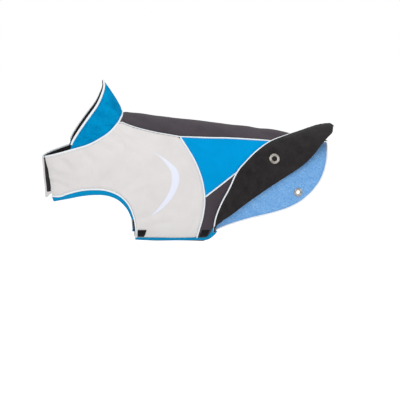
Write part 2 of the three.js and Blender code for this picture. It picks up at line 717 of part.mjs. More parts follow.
// The line that the rolled edge starts from. It leaves the body's form for the flap's towards the tail,
// and along the tip it comes to lie straight beneath the flap's own edge.
function underFlap(distance, height) {
  const line = aside(foldLine, ROLL + distance);
  const onBody = onForm([spread(seam(line, 20), 15)], () => height)[0];
  const onWing = onForm([spread(seam(line, 20, flat, wing), 15, wing)], () => height, wing)[0];
  const fold = onBody.map(({ point, up }, i) => {
    const share = smooth(i, ...FOLD_RISE);
    return { point: point.lerp(onWing[i].point, share), up: up.lerp(onWing[i].up, share).normalize() };
  });
  const rim = aside(flapTip, ROLL + distance / 2);
  const below = spread(seam(rim, 5, flat, wing), 3, wing);
  const above = spread(seam(rim, 5, () => FLAP_LINING_TOP, wing), 3, wing);
  const tip = below.map(({ rib, round }, i) => {
    const share = i / 3;
    return { rib: rib + (above[i].rib - rib) * share, round: round + (above[i].round - round) * share };
  });
  return joined(fold, onForm([tip], () => height, wing)[0]);
}

// One cloth of the flap: "more" is how far it lies outside the shell's own cloth.
function flapSheet(grid, more, tuck) {
  const face = onForm(grid, () => FLAP_SHELL_TOP + more, wing);
  const shell = onForm(grid, () => FLAP_SHELL_TOP, wing);
  const inside = underFlap(0, -SHELL);
  const tucked = underFlap(tuck, -SHELL - more);
  const near = underFlap(TUCK_LEAST, -SHELL - more);
  return drawnIn(face.map((line, i) => {
    const [from, to] = [inside[i].point, shell[i][0].point];
    const centre = from.clone().add(to).multiplyScalar(0.5);
    const tall = from.distanceTo(to) / 2 + more;
    const wide = Math.min(tall, FOLD_WIDE + more);
    const outward = to.clone().sub(from).normalize();
    const beyond = shell[i][0].point.clone().sub(shell[i][1].point);
    beyond.addScaledVector(outward, -beyond.dot(outward)).normalize();
    const rolled = [];
    if (tuck > 0) {
      const share = 1 - smooth(i, ...TUCK_TAPER);
      const point = near[i].point.clone().lerp(tucked[i].point, share);
      rolled.push({ point, up: tucked[i].up.clone().negate() });
    }
    for (let turn = 0; turn <= FOLD_TURNS; turn++) {
      const angle = (Math.PI * turn) / FOLD_TURNS;
      const [c, s] = [Math.cos(angle), Math.sin(angle)];
      const point = centre.clone().addScaledVector(outward, -tall * c).addScaledVector(beyond, wide * s);
      const up = outward.clone().multiplyScalar(-c / tall).addScaledVector(beyond, s / wide).normalize();
      rolled.push({ point, up });
    }
    return [...rolled, ...line.slice(1)];
  }), { high: ARCH_HALF });
}

// Trim

function addPiping(name, path, steps, height, form = body, shorter = [0, 0], wide = PIPING_WIDE) {
  const cord = pipingGeometry(spread(path, steps, form, ...shorter), height, form, wide);
  add("piping_" + name, cord, colours.piping, 0.7);
}

function quadPatch(name, corners, rungs, steps, top, thick) {
  const [a, b, c, d] = corners.map(([across, up]) => body.locate(across, up, flat));
  const grid = patch([[[a, b], steps]], [[[d, c], steps]], [a, d], [b, c], rungs);
  addSheet(name, grid, () => top, {}, thick, colours.black);
}

function facing(far) {
  const height = lifted(far, -0.5);
  const low = flipped(seam(facingEdge, 24, lifted(far)), far);
  const high = flipped(seam(facingTop, 24, lifted(far)), far);
  const grid = patch([[low, 16]], [[high, 16]], [low[0], high[0]], [last(low), last(high)], 1);
  addSheet("arch_facing_" + side(far), grid, height, { high: ARCH_HALF }, SHELL, colours.binding);
}

function hemBinding(far) {
  const high = joined(hemLeft, hemCorner);
  const lower = high.map(({ rib, round }, i) => ({
    rib: rib - BINDING_REACH * smooth(i, hemLeft.length, high.length - 1), round: round + BINDING_TURN,
  }));
  const [low, top] = [flipped(lower, far), flipped(high, far)];
  const grid = patch([[low, 14]], [[top, 14]], [low[0], top[0]], [last(low), last(top)], 1);
  const thick = BINDING_TOP - BAND_TOP - GAP - 0.1;
  addSheet("hem_binding_" + side(far), grid, () => BINDING_TOP, { high: -1 }, thick, colours.binding);
}

function bellyBand() {
  const near = seam([[-122, -66], [-60, -67], [14, -66]], 12, () => BAND_TOP);
  const far = near.map(({ rib, round }) => ({ rib, round: 360 - round }));
  const grid = patch([[near, 9]], [[far, 9]], [near[0], far[0]], [last(near), last(far)], 12);
  addSheet("belly_band", grid, () => BAND_TOP, {}, BAND, colours.charcoal);
}

function hookStrip() {
  const corner = (rib, round) => ({ rib, round: -round });
  const low = [corner(10.56, 212), corner(11.92, 212)];
  const high = [corner(10.66, 200.5), corner(11.92, 200.5)];
  const grid = patch([[low, 5]], [[high, 5]], [low[0], high[0]], [low[1], high[1]], 2);
  addSheet("chest_hook_strip", grid, () => GAP + HOOK, {}, HOOK, colours.black);
}

for (const far of [false, true]) {
  sidePanel(far);
  insert(far);
  facing(far);
  hemBinding(far);
}
backPanel();
flankPanel();
collar();
bellyBand();
hookStrip();
quadPatch("hook_patch_front", frontPatch, 2, 2, GAP + 0.8, 0.8);
quadPatch("hook_patch_rear", rearPatch, 2, 2, GAP + 0.8, 0.8);

const leaf = flapGrid();
const flapShell = sheetGeometry(flapSheet(leaf, 0, 0), SHELL);
const flapLining = sheetGeometry(flapSheet(leaf, FLAP_LINING_TOP - FLAP_SHELL_TOP, FLAP_TUCK), FLAP_LINING);

const onFlap = wing.locate(...flapEyelet, () => FLAP_LINING_TOP);
const onSkirt = body.locate(...skirtEyelet, innerTop);
const spotAt = (place, height, form = body) => onForm([[place]], () => height, form)[0][0];
const flapSpot = spotAt(onFlap, FLAP_LINING_TOP, wing);
const innerSpot = spotAt(onSkirt, INNER_TOP);
const across = mirrored([onSkirt])[0];
const farSpot = spotAt(across, 0);
const farInner = spotAt(across, innerTop(across) - INNER);
farInner.up.negate();
const BARREL = 1;
add("flap_shell_left", punched(flapShell, flapSpot, LARGE_HOLE + BARREL), colours.charcoal);
add("flap_lining_left", punched(flapLining, flapSpot, LARGE_HOLE + BARREL), colours.black);
const innerCut = geometryOf(solidOf(punched(innerSkirt(), innerSpot, SMALL_HOLE + BARREL)));
add("inner_skirt", punched(innerCut, farInner, SMALL_HOLE + BARREL), colours.heather);
add("skirt_panel_right", punched(skirtPanel(), farSpot, SMALL_HOLE + BARREL, 4), colours.charcoal);
addEyelet("eyelet_flap", flapSpot, LARGE_HOLE, LARGE_FLANGE, FLAP_LINING_TOP - FLAP_SHELL_TOP + SHELL);
addEyelet("eyelet_inner_left", innerSpot, SMALL_HOLE, SMALL_FLANGE, INNER);
addEyelet("eyelet_skirt_right", farSpot, SMALL_HOLE, SMALL_FLANGE, SHELL);
addEyelet("eyelet_inner_right", farInner, SMALL_HOLE, SMALL_FLANGE, INNER, true);

const flush = () => PIPING_SET;
const ringFar = [{ rib: NAPE_RIB - 0.02, round: -180 }, { rib: NAPE_RIB - 0.02, round: -196 }];
addPiping("neck", [...neckRing, ...ringFar], 60, (place) => PIPING_SET + chestLift(place));
addPiping("collar", collarRim(), COLLAR_STEPS, flush, body, [10, 10], COLLAR_WIDE);
for (const far of [false, true]) {
  const neck = far ? neckFar : neckLeft;
  const back = joined([last(neck)], flipped(backCorner, far), far ? backFar : backLeft);
  addPiping("back_" + side(far), back, 26, flush, body, [9, 8]);
  addPiping("rear_" + side(far), flipped(joined(rearUpper, rearLower), far), 17, flush, body, [4, 4.5]);
  const lower = flipped(joined(insertLower, [insertApex]), far);
  addPiping("insert_" + side(far), lower, 11, flush, body, [4, 10]);
  const arch = far ? archFar : archLeft;
  addPiping("arch_" + side(far), arch, 26, lifted(far, PIPING_SET), body, [0, 4]);
}
const onFlapEdge = () => FLAP_LINING_TOP;
const nose = wing.locate(...flapNose, onFlapEdge);
const flapRim = [...seam(flapEdge, 20, onFlapEdge, wing), ...flapRidge, nose];
addPiping("flap", flapRim, 26, () => FLAP_PIPING_SET, wing);
const innerHalf = joined(innerLow, innerBack);
const innerRim = [...innerHalf, TAIL, ...mirrored(backwards(innerHalf))];
addPiping("inner_skirt", innerRim, 44, (place) => innerTop(place) + INNER_PIPING_SET);
const skirtHalf = [last(hemCorner), ...joined(skirtLow, skirtBack)];
const skirtRim = [TAIL, ...mirrored(backwards(skirtHalf))];
addPiping("skirt_right", skirtRim, 26, flush, body, [0, 11]);

export default coat;
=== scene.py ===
# A dog's winter coat, worn and empty: cloth, cord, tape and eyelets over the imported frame.
# Lengths are millimetres until a mesh is made, in the frame's own axes: +X to the tail, the left side at -Y.
import math

import bpy
import numpy as np
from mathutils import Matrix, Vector


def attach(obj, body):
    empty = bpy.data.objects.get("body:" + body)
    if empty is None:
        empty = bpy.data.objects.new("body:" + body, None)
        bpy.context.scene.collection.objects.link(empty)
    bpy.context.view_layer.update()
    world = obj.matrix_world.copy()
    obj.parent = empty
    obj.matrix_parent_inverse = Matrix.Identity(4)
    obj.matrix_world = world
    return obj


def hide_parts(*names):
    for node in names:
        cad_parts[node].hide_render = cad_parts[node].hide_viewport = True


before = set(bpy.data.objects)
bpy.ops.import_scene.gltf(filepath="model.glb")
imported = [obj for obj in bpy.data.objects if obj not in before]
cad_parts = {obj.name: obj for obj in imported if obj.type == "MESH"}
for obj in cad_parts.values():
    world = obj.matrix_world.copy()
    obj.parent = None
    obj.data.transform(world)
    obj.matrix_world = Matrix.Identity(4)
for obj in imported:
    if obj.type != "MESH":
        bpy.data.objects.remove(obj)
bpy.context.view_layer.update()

MM = 0.001

# The measuring view, which is the camera's too.
VIEW_TURN = math.radians(6)
VIEW_LIFT = math.radians(8)
VIEW_DISTANCE = 2700
VIEW_CENTRE = np.array([0.0, 0.0, -160.0])
VIEW_WIDTH = 800

# Heights over the form, and thicknesses, as in the frame.
SHELL = 1.5
GAP = 0.3
SEAM_HALF = 1.5
ARCH_HALF = 1.7
PIPING_HALF = 1.55
COLLAR_EDGE_HALF = 2.3
BACK_HALVES = [1.0, 1.0, 1.1, 1.6, 1.6, 1.6, 1.6, 1.6]
PIPING_SET = -0.5
LINING = 1.2
FLAP_SHELL_TOP = 3.9
FLAP_LINING_TOP = 5.9
FLAP_LINING = 1.4
FLAP_PIPING_SET = 4
FLAP_TUCK = 12
TUCK_LEAST = 0.6
TUCK_TAPER = (0.33, 0.61)
FOLD_RISE = (0.67, 1)
FOLD_WIDE = 2.7
FOLD_TURNS = 12
ROLL = 4.6
INNER_TOP = -4.2
INNER_DROP = 1.6
INNER = 1.6
INNER_PIPING_SET = -0.9
BAND_TOP = -3
BAND = 2
CHEST_LIFT = 3.2
CHEST_TUCK = 218
HOOK = 1
HOOK_PATCH = 0.8
BINDING_TOP = 0.7
BINDING_TURN = 4.5
BINDING_REACH = 0.12
LARGE_EYELET = (5.2, 10.2)
SMALL_EYELET = (4.0, 8.4)
CELL = 2.2
NAPE_RIB = 12
NAPE_SAG = 0.0009
COLLAR_RIB = 15.1
MOST_ROUND = 162
TOP_FULL = 0.1
TOP_SQUARE = 0.03

# Ribs of the form: top and low (across, up) of each rib's ends, half width, fulness, squareness.
RIBS = [
    (290, 106, 290, -100, 56, 0.2, 0.2),
    (254, 119, 254, -96, 69, 0.25, 0.25),
    (204, 129, 204, -92, 79, 0.3, 0.3),
    (144, 140.6, 144, -88, 84, 0.35, 0.3),
    (80, 149.4, 80, -84, 86, 0.35, 0.3),
    (26, 155.6, 26, -81.6, 87, 0.35, 0.3),
    (-28, 161.4, -44, -81, 87, 0.35, 0.3),
    (-74, 167.4, -104, -80.6, 85, 0.35, 0.3),
    (-102, 170.8, -168, -76, 82, 0.25, 0.2),
    (-122, 173.2, -240, -58, 78, 0.18, 0.12),
    (-137, 174.8, -301, -12, 73, 0.12, 0.06),
    (-147, 176, -311, 32, 68, 0.1, 0.05),
    (-155, 177, -316, 87, 63, 0.08, 0.04),
    (-161, 192, -323, 120, 60, 0.06, 0.03),
    (-173, 212, -328, 150, 57, 0.06, 0.03),
    (-191, 238, -333, 180, 54, 0.06, 0.03),
    (-206, 264, -338, 208, 52, 0.06, 0.03),
]
FLAP_RISE = [38, 29.5, 11, 0.6]

# Seams of the left side, (across, up) in the view.
NECK_SEAM = [(-310, 86.4), (-284, 92.4), (-257, 100), (-225, 109.4), (-200, 122), (-180, 136), (-163, 155)]
BACK_FRONT = [(-157.6, 156.6), (-136, 148), (-110, 140.6), (-85, 135), (-59, 130.4), (-40.2, 127)]
BACK_REAR = [(-40.2, 127), (17, 124.8), (59, 124), (136, 119), (200, 110), (232, 103)]
BACK_FAR = BACK_REAR[:4] + [(200, 108), (254, 96)]
FOLD_TOP = (245, 116)
REAR_UPPER = [(-40.2, 127), (-22.4, 99.2), (-8.4, 74), (3.2, 43.2), (8.2, 18), (9.4, 5)]
REAR_LOWER = [(9.4, 5), (9, -10), (5.6, -33.4), (0, -54), (-6.4, -76)]
INSERT_LOW = [(9.4, 5), (39.2, 28), (74.8, 55.8), (116, 86), (146, 109.5)]
INSERT_TOP = [(-40.2, 127), (17, 124.8), (59, 124), (120, 120.4), (146, 118.4)]
INSERT_POINT = (158, 117.4)
FLANK_TOP = [INSERT_POINT, (200, 110), (226, 104.5)]
LEG_ARCH = [
    (-296.6, 7.4), (-280, 7), (-264, 12.6), (-238, 19), (-212.4, 21), (-187, 19),
    (-161.4, 8.8), (-144, -8), (-133, -32), (-128.4, -56), (-128, -76),
]
ARCH_TURN = 17 / 31
FACING_EDGE = [
    (-292.8, -2.8), (-264, 2.4), (-238, 7.4), (-212.4, 10), (-187, 8.8), (-164, 0), (-146, -18),
    (-136.4, -38),
]
FACING_TOP = LEG_ARCH[:8] + [(-131, -40)]
HEM = [(-128, -76), (-60, -77), (-6.4, -76)]
HEM_REAR = [(-6.4, -76), (11.4, -75.4), (20.4, -66), (25.8, -56)]
BAND_LINE = [(-122, -66), (-60, -67), (14, -66)]
CHEST_END = [(-310, 86.4), (-302, 50), (-298, 25), (-296.6, 7.4)]
FOLD_LINE = [
    (31, -59), (45, -47), (59, -35.6), (79, -18.6), (98.6, -3.6), (138, 24.2), (177.6, 49.8), (207.2, 69.6),
    (227, 89.4), (240.8, 107.2), (250.8, 119.5),
]
FLANK_FOLD = FOLD_LINE[:-2] + [(235, 99.5)]
SKIRT_EDGE = [
    (30, -60), (59, -49), (98.6, -37.2), (134, -28.8), (154, -23.4), (177.6, -15.4), (203.4, -1.6), (223, 16),
]
SKIRT_REAR = [(223, 16), (238.8, 36), (248.8, 58), (253.8, 81.4), (254.4, 96)]
INNER_CORNER = (10, -60)
FLAP_EDGE = [
    (27.5, -66), (31.8, -37.2), (43.2, -7.6), (59, 22.2), (74.8, 55.8), (92.6, 77.4), (114.4, 99.2),
    (142, 119), (177.6, 132.8),
]
FLAP_NOSE = (268, 149.5)
FLAP_TIP = [(250.8, 119.5), (257.1, 127.5), (263.5, 135), (268, 141.5), (269.8, 146)]
COLLAR_EDGE = [
    (-258, 108), (-253, 120), (-240.6, 140), (-222.6, 165.6), (-204.8, 191), (-194, 216), (-191, 230),
]
COLLAR_TIP = (-262, 98.6)
FRONT_PATCH = [(-124.6, -73), (-112, -73), (-107, -60), (-124.2, -60)]
REAR_PATCH = [(-1.6, -73.4), (14.6, -72.2), (18.6, -60), (4.4, -60)]
FLAP_EYELET = (149, 82.4)
SKIRT_EYELET = (196.4, 15.4)

# Places of the form, (rib, round).
FLAP_RIDGE = [(1.9, 8), (1.45, 1), (1.05, 1), (0.86, 1)]
TAIL = np.array([[1.0, 0.0]])
TUCK_TOP = np.array([[NAPE_RIB - 0.05, -CHEST_TUCK]])
TUCK_LOW = np.array([[10.42, -CHEST_TUCK]])
INNER_FRONT = [(5.2, 60), (5.2, 0), (5.2, -60)]
HOOK_STRIP_LOW = [(10.56, -212), (11.92, -212)]
HOOK_STRIP_HIGH = [(10.66, -200.5), (11.92, -200.5)]

# Soft creases in the view: from, to, half width, depth (a trough is negative), bow.
SIDE_CREASES = [
    ((-304, 40), (-262, 22), 5, -1.1, 3),
    ((-300, 62), (-252, 38), 7, -1.3, -4),
    ((-286, 84), (-258, 60), 5, -0.7, 3),
    ((-262, 30), (-226, 62), 9, 0.9, 4),
    ((-236, 102), (-196, 66), 8, -0.9, -5),
    ((-206, 112), (-164, 88), 6, -0.8, 4),
    ((-178, 132), (-150, 96), 5, -1.0, 5),
    ((-168, 140), (-128, 116), 4, -0.6, -3),
    ((-196, 26), (-168, 62), 9, -1.1, 6),
    ((-160, 14), (-112, 66), 11, -1.2, -7),
    ((-146, -4), (-92, 24), 8, -0.9, 6),
    ((-130, -40), (-74, -20), 8, -0.8, -5),
    ((-122, -58), (-40, -46), 7, -0.7, 4),
    ((-20, -62), (4, 0), 6, -0.7, -3),
    ((-84, 126), (-70, 74), 10, -0.5, 4),
    ((-46, 116), (-14, 60), 8, -0.6, -4),
]
FAR_CREASES = [
    ((a[0] + 7, a[1] - 4), (b[0] + 2, b[1] + 6), width, depth, -bow)
    for a, b, width, depth, bow in SIDE_CREASES
]
INSERT_CREASES = [
    ((-22, 114), (20, 66), 6, -0.7, 4),
    ((12, 116), (34, 52), 7, -0.5, -4),
    ((60, 118), (70, 70), 6, -0.6, 3),
    ((100, 116), (92, 82), 5, -0.5, -2),
]
BACK_CREASES = [
    ((-150, 170), (-96, 150), 6, -0.8, 3),
    ((-60, 160), (10, 134), 10, -0.7, -4),
    ((40, 150), (96, 130), 9, -0.6, 4),
    ((110, 146), (176, 118), 8, -0.9, -5),
    ((180, 132), (232, 118), 7, -0.8, 4),
]
FLAP_CREASES = [
    ((44, -30), (96, 20), 9, -1.1, 4),
    ((70, -10), (150, 52), 12, 0.9, -6),
    ((110, 76), (176, 60), 10, -1.0, 5),
    ((160, 110), (226, 110), 9, -1.2, -6),
    ((196, 84), (248, 128), 7, -1.0, 4),
    ((88, 56), (128, 96), 7, -0.8, 4),
]
SKIRT_CREASES = [
    ((60, -38), (150, -10), 9, -0.9, 5),
    ((120, -18), (176, 30), 11, 0.9, -6),
    ((150, 8), (214, 8), 9, -1.0, 4),
    ((206, 20), (238, 74), 8, -1.1, -5),
    ((188, 40), (212, 88), 8, -0.7, 4),
]
COLLAR_CREASES = [
    ((-246, 108), (-204, 142), 5, -0.8, -4),
    ((-236, 132), (-192, 150), 6, -0.9, 4),
    ((-224, 154), (-186, 178), 6, -0.8, -4),
    ((-206, 122), (-172, 158), 5, -0.7, 3),
    ((-212, 176), (-196, 204), 4, -0.5, 2),
]

# The measuring view

ahead = np.array([
    math.sin(VIEW_TURN) * math.cos(VIEW_LIFT),
    math.cos(VIEW_TURN) * math.cos(VIEW_LIFT),
    -math.sin(VIEW_LIFT),
])
rightward = np.array([math.cos(VIEW_TURN), -math.sin(VIEW_TURN), 0.0])
upward = np.cross(rightward, ahead)


def sight(points):
    """Where points show in the measuring view."""
    seen = points - VIEW_CENTRE
    scale = VIEW_DISTANCE / (VIEW_DISTANCE + seen @ ahead)
    return np.stack([(seen @ rightward) * scale, (seen @ upward) * scale], axis=-1)


def on_middle_plane(across, up):
    eye = VIEW_CENTRE - ahead * VIEW_DISTANCE
    ray = ahead * VIEW_DISTANCE + rightward * across + upward * up
    return eye - ray * eye[1] / ray[1]


def unit(vectors):
    return vectors / np.maximum(np.linalg.norm(vectors, axis=-1, keepdims=True), 1e-9)


def smooth(value, low, high):
    t = np.clip((value - low) / (high - low), 0, 1)
    return t * t * (3 - 2 * t)


def between(before, here, after, beyond, t):
    """The value at t on the way from here to after, on a smooth line through all four."""
    b = after - before
    c = 2 * before - 5 * here + 4 * after - beyond
    d = 3 * here - before - 3 * after + beyond
    return 0.5 * (2 * here + t * (b + t * (c + t * d)))


def run_along(points):
    """How far each point of a line lies from its start."""
    return np.concatenate([[0], np.cumsum(np.linalg.norm(np.diff(points, axis=0), axis=1))])


# The form. A place is (rib, round), and round is in degrees from the spine, positive down the left side.


class Form:
    def __init__(self, rows):
        self.rows = []
        for top_a, top_u, low_a, low_u, *shape in rows:
            top = on_middle_plane(top_a, top_u)
            low = on_middle_plane(low_a, low_u)
            self.rows.append([top[0], top[2], low[0], low[2], *shape])
        self.rows = np.array(self.rows)
        rib, round_ = np.meshgrid(np.arange(0, len(rows) - 0.9, 0.25), np.arange(2, MOST_ROUND - 3, 4))
        self.chart = np.stack([rib.ravel(), round_.ravel()], axis=-1)
        self.charted = sight(self.point(self.chart))

    def row(self, rib):
        last = len(self.rows) - 1
        i = np.clip(np.floor(rib).astype(int), 0, last - 1)
        four = [self.rows[np.clip(i + n, 0, last)] for n in (-1, 0, 1, 2)]
        return between(*four, (rib - i)[..., None])

    def point(self, place):
        row = np.moveaxis(self.row(place[..., 0]), -1, 0)
        top_x, top_z, low_x, low_z, half, full, square = row
        turn = np.radians(place[..., 1])
        c, s = np.cos(turn), np.sin(turn)
        lower = (1 - c) / 2
        along = c * (1 + (TOP_SQUARE + (square - TOP_SQUARE) * lower) * s * s)
        out = half * s * (1 + (TOP_FULL + (full - TOP_FULL) * lower) * c * c)
        x = (top_x + low_x) / 2 + along * (top_x - low_x) / 2
        z = (top_z + low_z) / 2 + along * (top_z - low_z) / 2
        return np.stack([x, -out, z], axis=-1)

    def normal(self, place):
        rib_step, round_step = np.array([0.02, 0]), np.array([0, 1])
        length = self.point(place - rib_step) - self.point(place + rib_step)
        girth = self.point(place + round_step) - self.point(place - round_step)
        return unit(np.cross(girth, length))

    def raised(self, place, height):
        place = np.asarray(place, float)
        return self.point(place) + self.normal(place) * np.asarray(height)[..., None]

    def locate(self, spots, height):
        """The places of the left side that show at spots of the view."""
        spots = np.atleast_2d(np.asarray(spots, float))
        gaps = np.linalg.norm(self.charted[None] - spots[:, None], axis=-1)
        place = self.chart[np.argmin(gaps, axis=1)].copy()
        for _ in range(14):
            miss = sight(self.raised(place, height(place))) - spots
            rib_on = place + [0.01, 0]
            round_on = place + [0, 0.1]
            by_rib = (sight(self.raised(rib_on, height(rib_on))) - spots - miss) / 0.01
            by_round = (sight(self.raised(round_on, height(round_on))) - spots - miss) / 0.1
            det = by_rib[:, 0] * by_round[:, 1] - by_rib[:, 1] * by_round[:, 0]
            det = np.where(np.abs(det) < 1e-6, 1e9, det)
            move_rib = (-miss[:, 0] * by_round[:, 1] + miss[:, 1] * by_round[:, 0]) / det
            move_round = (-by_rib[:, 0] * miss[:, 1] + by_rib[:, 1] * miss[:, 0]) / det
            place[:, 0] = np.clip(place[:, 0] + np.clip(move_rib, -0.5, 0.5), 0, len(self.rows) - 1)
            place[:, 1] = np.clip(place[:, 1] + np.clip(move_round, -6, 6), 1, MOST_ROUND)
        return place


body = Form(RIBS)
rises = FLAP_RISE + [0] * (len(RIBS) - len(FLAP_RISE))
wing = Form([(row[0], row[1] + rise, *row[2:]) for row, rise in zip(RIBS, rises)])


def level(height):
    return lambda place: np.full(place.shape[:-1], float(height))


flat = level(0)


def chest_lift(place):
    """The left chest end lies over the right one."""
    lift = CHEST_LIFT * smooth(place[..., 1], 112, 136) * smooth(place[..., 0], 8.4, 9.6)
    return np.where(place[..., 1] > 0, lift, 0)


def inner_top(place):
    return INNER_TOP - INNER_DROP * smooth(-place[..., 1], 20, 60)


# Seam paths


def spline(points, steps):
    """Evenly spaced spots of a smooth line through points."""
    points = np.asarray(points, float)
    ends = np.vstack([2 * points[0] - points[1], points, 2 * points[-1] - points[-2]])
    dense = []
    for i in range(1, len(ends) - 2):
        dense += [between(*ends[i - 1:i + 3], t) for t in np.arange(0, 1, 0.05)]
    dense = np.array([*dense, points[-1]])
    run = run_along(dense)
    wanted = np.linspace(0, run[-1], steps + 1)
    return np.stack([np.interp(wanted, run, dense[:, k]) for k in (0, 1)], axis=-1)


def seam(points, height=flat, form=body, steps=60):
    return form.locate(spline(points, steps), height)


def spread(path, steps, form=body, early=0, late=0):
    """A path as evenly spaced places."""
    run = run_along(form.point(path))
    wanted = np.linspace(early, run[-1] - late, steps + 1)
    return np.stack([np.interp(wanted, run, path[:, k]) for k in (0, 1)], axis=-1)


def length_of(path, form=body):
    return np.linalg.norm(np.diff(form.point(path), axis=0), axis=1).sum()


def joined(*paths):
    """Paths end to end. A path of more than one place starts where the one before it ends."""
    result = np.atleast_2d(paths[0])
    for path in paths[1:]:
        path = np.atleast_2d(path)
        result = np.vstack([result, path[1:] if len(path) > 1 else path])
    return result


def mirrored(path):
    return path * [1, -1]


def flipped(path, far):
    return mirrored(path) if far else path


def aside(points, distance):
    """A line of the view moved aside, up and to the left of a line that rises to the right."""
    points = np.asarray(points, float)
    runs = np.gradient(points, axis=0)
    return points + distance * unit(np.stack([-runs[:, 1], runs[:, 0]], axis=-1))


def cells(path, form=body, size=CELL):
    return max(1, round(length_of(path, form) / size))


def patch(low, high, start, end, form=body):
    """A grid of places between four edges. low and high are lists of paths that pair up."""
    counts = [max(cells(a, form), cells(b, form)) for a, b in zip(low, high)]
    low_line = joined(*[spread(path, count, form) for path, count in zip(low, counts)])
    high_line = joined(*[spread(path, count, form) for path, count in zip(high, counts)])
    rungs = max(cells(start, form), cells(end, form), 2)
    first, final = spread(start, rungs, form), spread(end, rungs, form)
    u = np.linspace(0, 1, len(low_line))[:, None, None]
    v = np.linspace(0, 1, rungs + 1)[None, :, None]
    at_start = (1 - v) * low_line[0] + v * high_line[0]
    at_end = (1 - v) * low_line[-1] + v * high_line[-1]
    corners = (1 - u) * at_start + u * at_end
    across = (1 - v) * low_line[:, None] + v * high_line[:, None]
    return across + (1 - u) * first[None] + u * final[None] - corners


def line(a, b):
    return np.vstack([np.atleast_2d(a), np.atleast_2d(b)])


def strip(low, high):
    """A grid of places between two edges, with straight ends."""
    return patch([low], [high], line(low[0], high[0]), line(low[-1], high[-1]))


# Cloth


def drawn_in(points, up, low=0.0, high=0.0, start=0.0, end=0.0):
    """Draws a grid's edges in, square to each edge, so that neighbours stand apart."""
    along, across = np.gradient(points, axis=0), np.gradient(points, axis=1)
    result = points.copy()
    into = unit(np.cross(up, along))
    into *= np.sign(np.sum(into * across, axis=-1, keepdims=True))
    forth = unit(np.cross(up, across))
    forth *= np.sign(np.sum(forth * along, axis=-1, keepdims=True))
    fade = [1.0, 0.75, 0.5, 0.25]
    for n, share in enumerate(fade):
        if points.shape[1] > 2 * len(fade):
            result[:, n] += into[:, n] * low * share
            result[:, -1 - n] -= into[:, -1 - n] * high * share
        if points.shape[0] > 2 * len(fade):
            result[n] += forth[n] * start * share
            result[-1 - n] -= forth[-1 - n] * end * share
    return result


LOW, HIGH, START, END = range(4)
NO_SEAMS = (False,) * 4
CREASE_GAIN = 2.5


def creased(spots, lines):
    """Height of soft creases at spots of the view."""
    height = np.zeros(spots.shape[:-1])
    for start, end, width, depth, bow in lines:
        start, end = np.array(start, float), np.array(end, float)
        run = end - start
        length = np.linalg.norm(run)
        along = ((spots - start) @ run) / length**2
        off = ((spots - start) @ np.array([-run[1], run[0]])) / length
        t = np.clip(along, 0, 1)
        off = off - bow * 4 * t * (1 - t)
        spread_width = width * (0.75 + 0.5 * t)
        beyond = (along - t) * length
        taper = np.sin(np.pi * np.clip(0.08 + 0.84 * t, 0, 1)) * np.exp(-((beyond / width) ** 2))
        trough = np.exp(-((off / spread_width) ** 2))
        ridge = np.exp(-(((off - 1.9 * spread_width) / spread_width) ** 2))
        height += depth * taper * (trough - 0.45 * ridge)
    return height


def rippled(points, size, seed):
    """Slow unevenness of the cloth, from -1 to 1."""
    total = np.zeros(points.shape[:-1])
    for n in range(5):
        turn = seed * 1.7 + n * 2.4
        way = np.array([math.cos(turn), 0.6 * math.sin(2.1 * turn), math.sin(turn)])
        total += np.sin(points @ way * (2 * math.pi / (size * (0.7 + 0.23 * n))) + seed * 3.1 + n)
    return total / 5


def edge_distance(points):
    """How far each point of a grid lies from its four edges: low, high, start, end."""
    along = np.linalg.norm(np.diff(points, axis=0), axis=-1)
    across = np.linalg.norm(np.diff(points, axis=1), axis=-1)
    from_start = np.vstack([np.zeros((1, points.shape[1])), np.cumsum(along, axis=0)])
    from_low = np.hstack([np.zeros((points.shape[0], 1)), np.cumsum(across, axis=1)])
    return from_low, from_low[:, -1:] - from_low, from_start, from_start[-1:] - from_start


def grid_normals(points, near):
    normal = unit(np.cross(np.gradient(points, axis=0), np.gradient(points, axis=1)))
    return normal * np.sign(np.sum(normal * near, axis=-1, keepdims=True))


def hole_in(points, centre, radius):
    """The cells of a grid to leave out round a hole, and the points with the hole's edge made round."""
    reach = np.linalg.norm(points - centre, axis=-1)
    corners = [reach[:-1, :-1], reach[1:, :-1], reach[1:, 1:], reach[:-1, 1:]]
    kept = np.mean(corners, axis=0) > radius
    edge = np.zeros(reach.shape, bool)
    inside = np.zeros(reach.shape, bool)
    for di, dj in ((0, 0), (1, 0), (1, 1), (0, 1)):
        area = (slice(di, di + kept.shape[0]), slice(dj, dj + kept.shape[1]))
        edge[area] |= kept
        inside[area] |= ~kept
    rim = edge & inside
    points = points.copy()
    points[rim] = centre + (points[rim] - centre) * (radius / reach[rim])[:, None]
    return points, kept


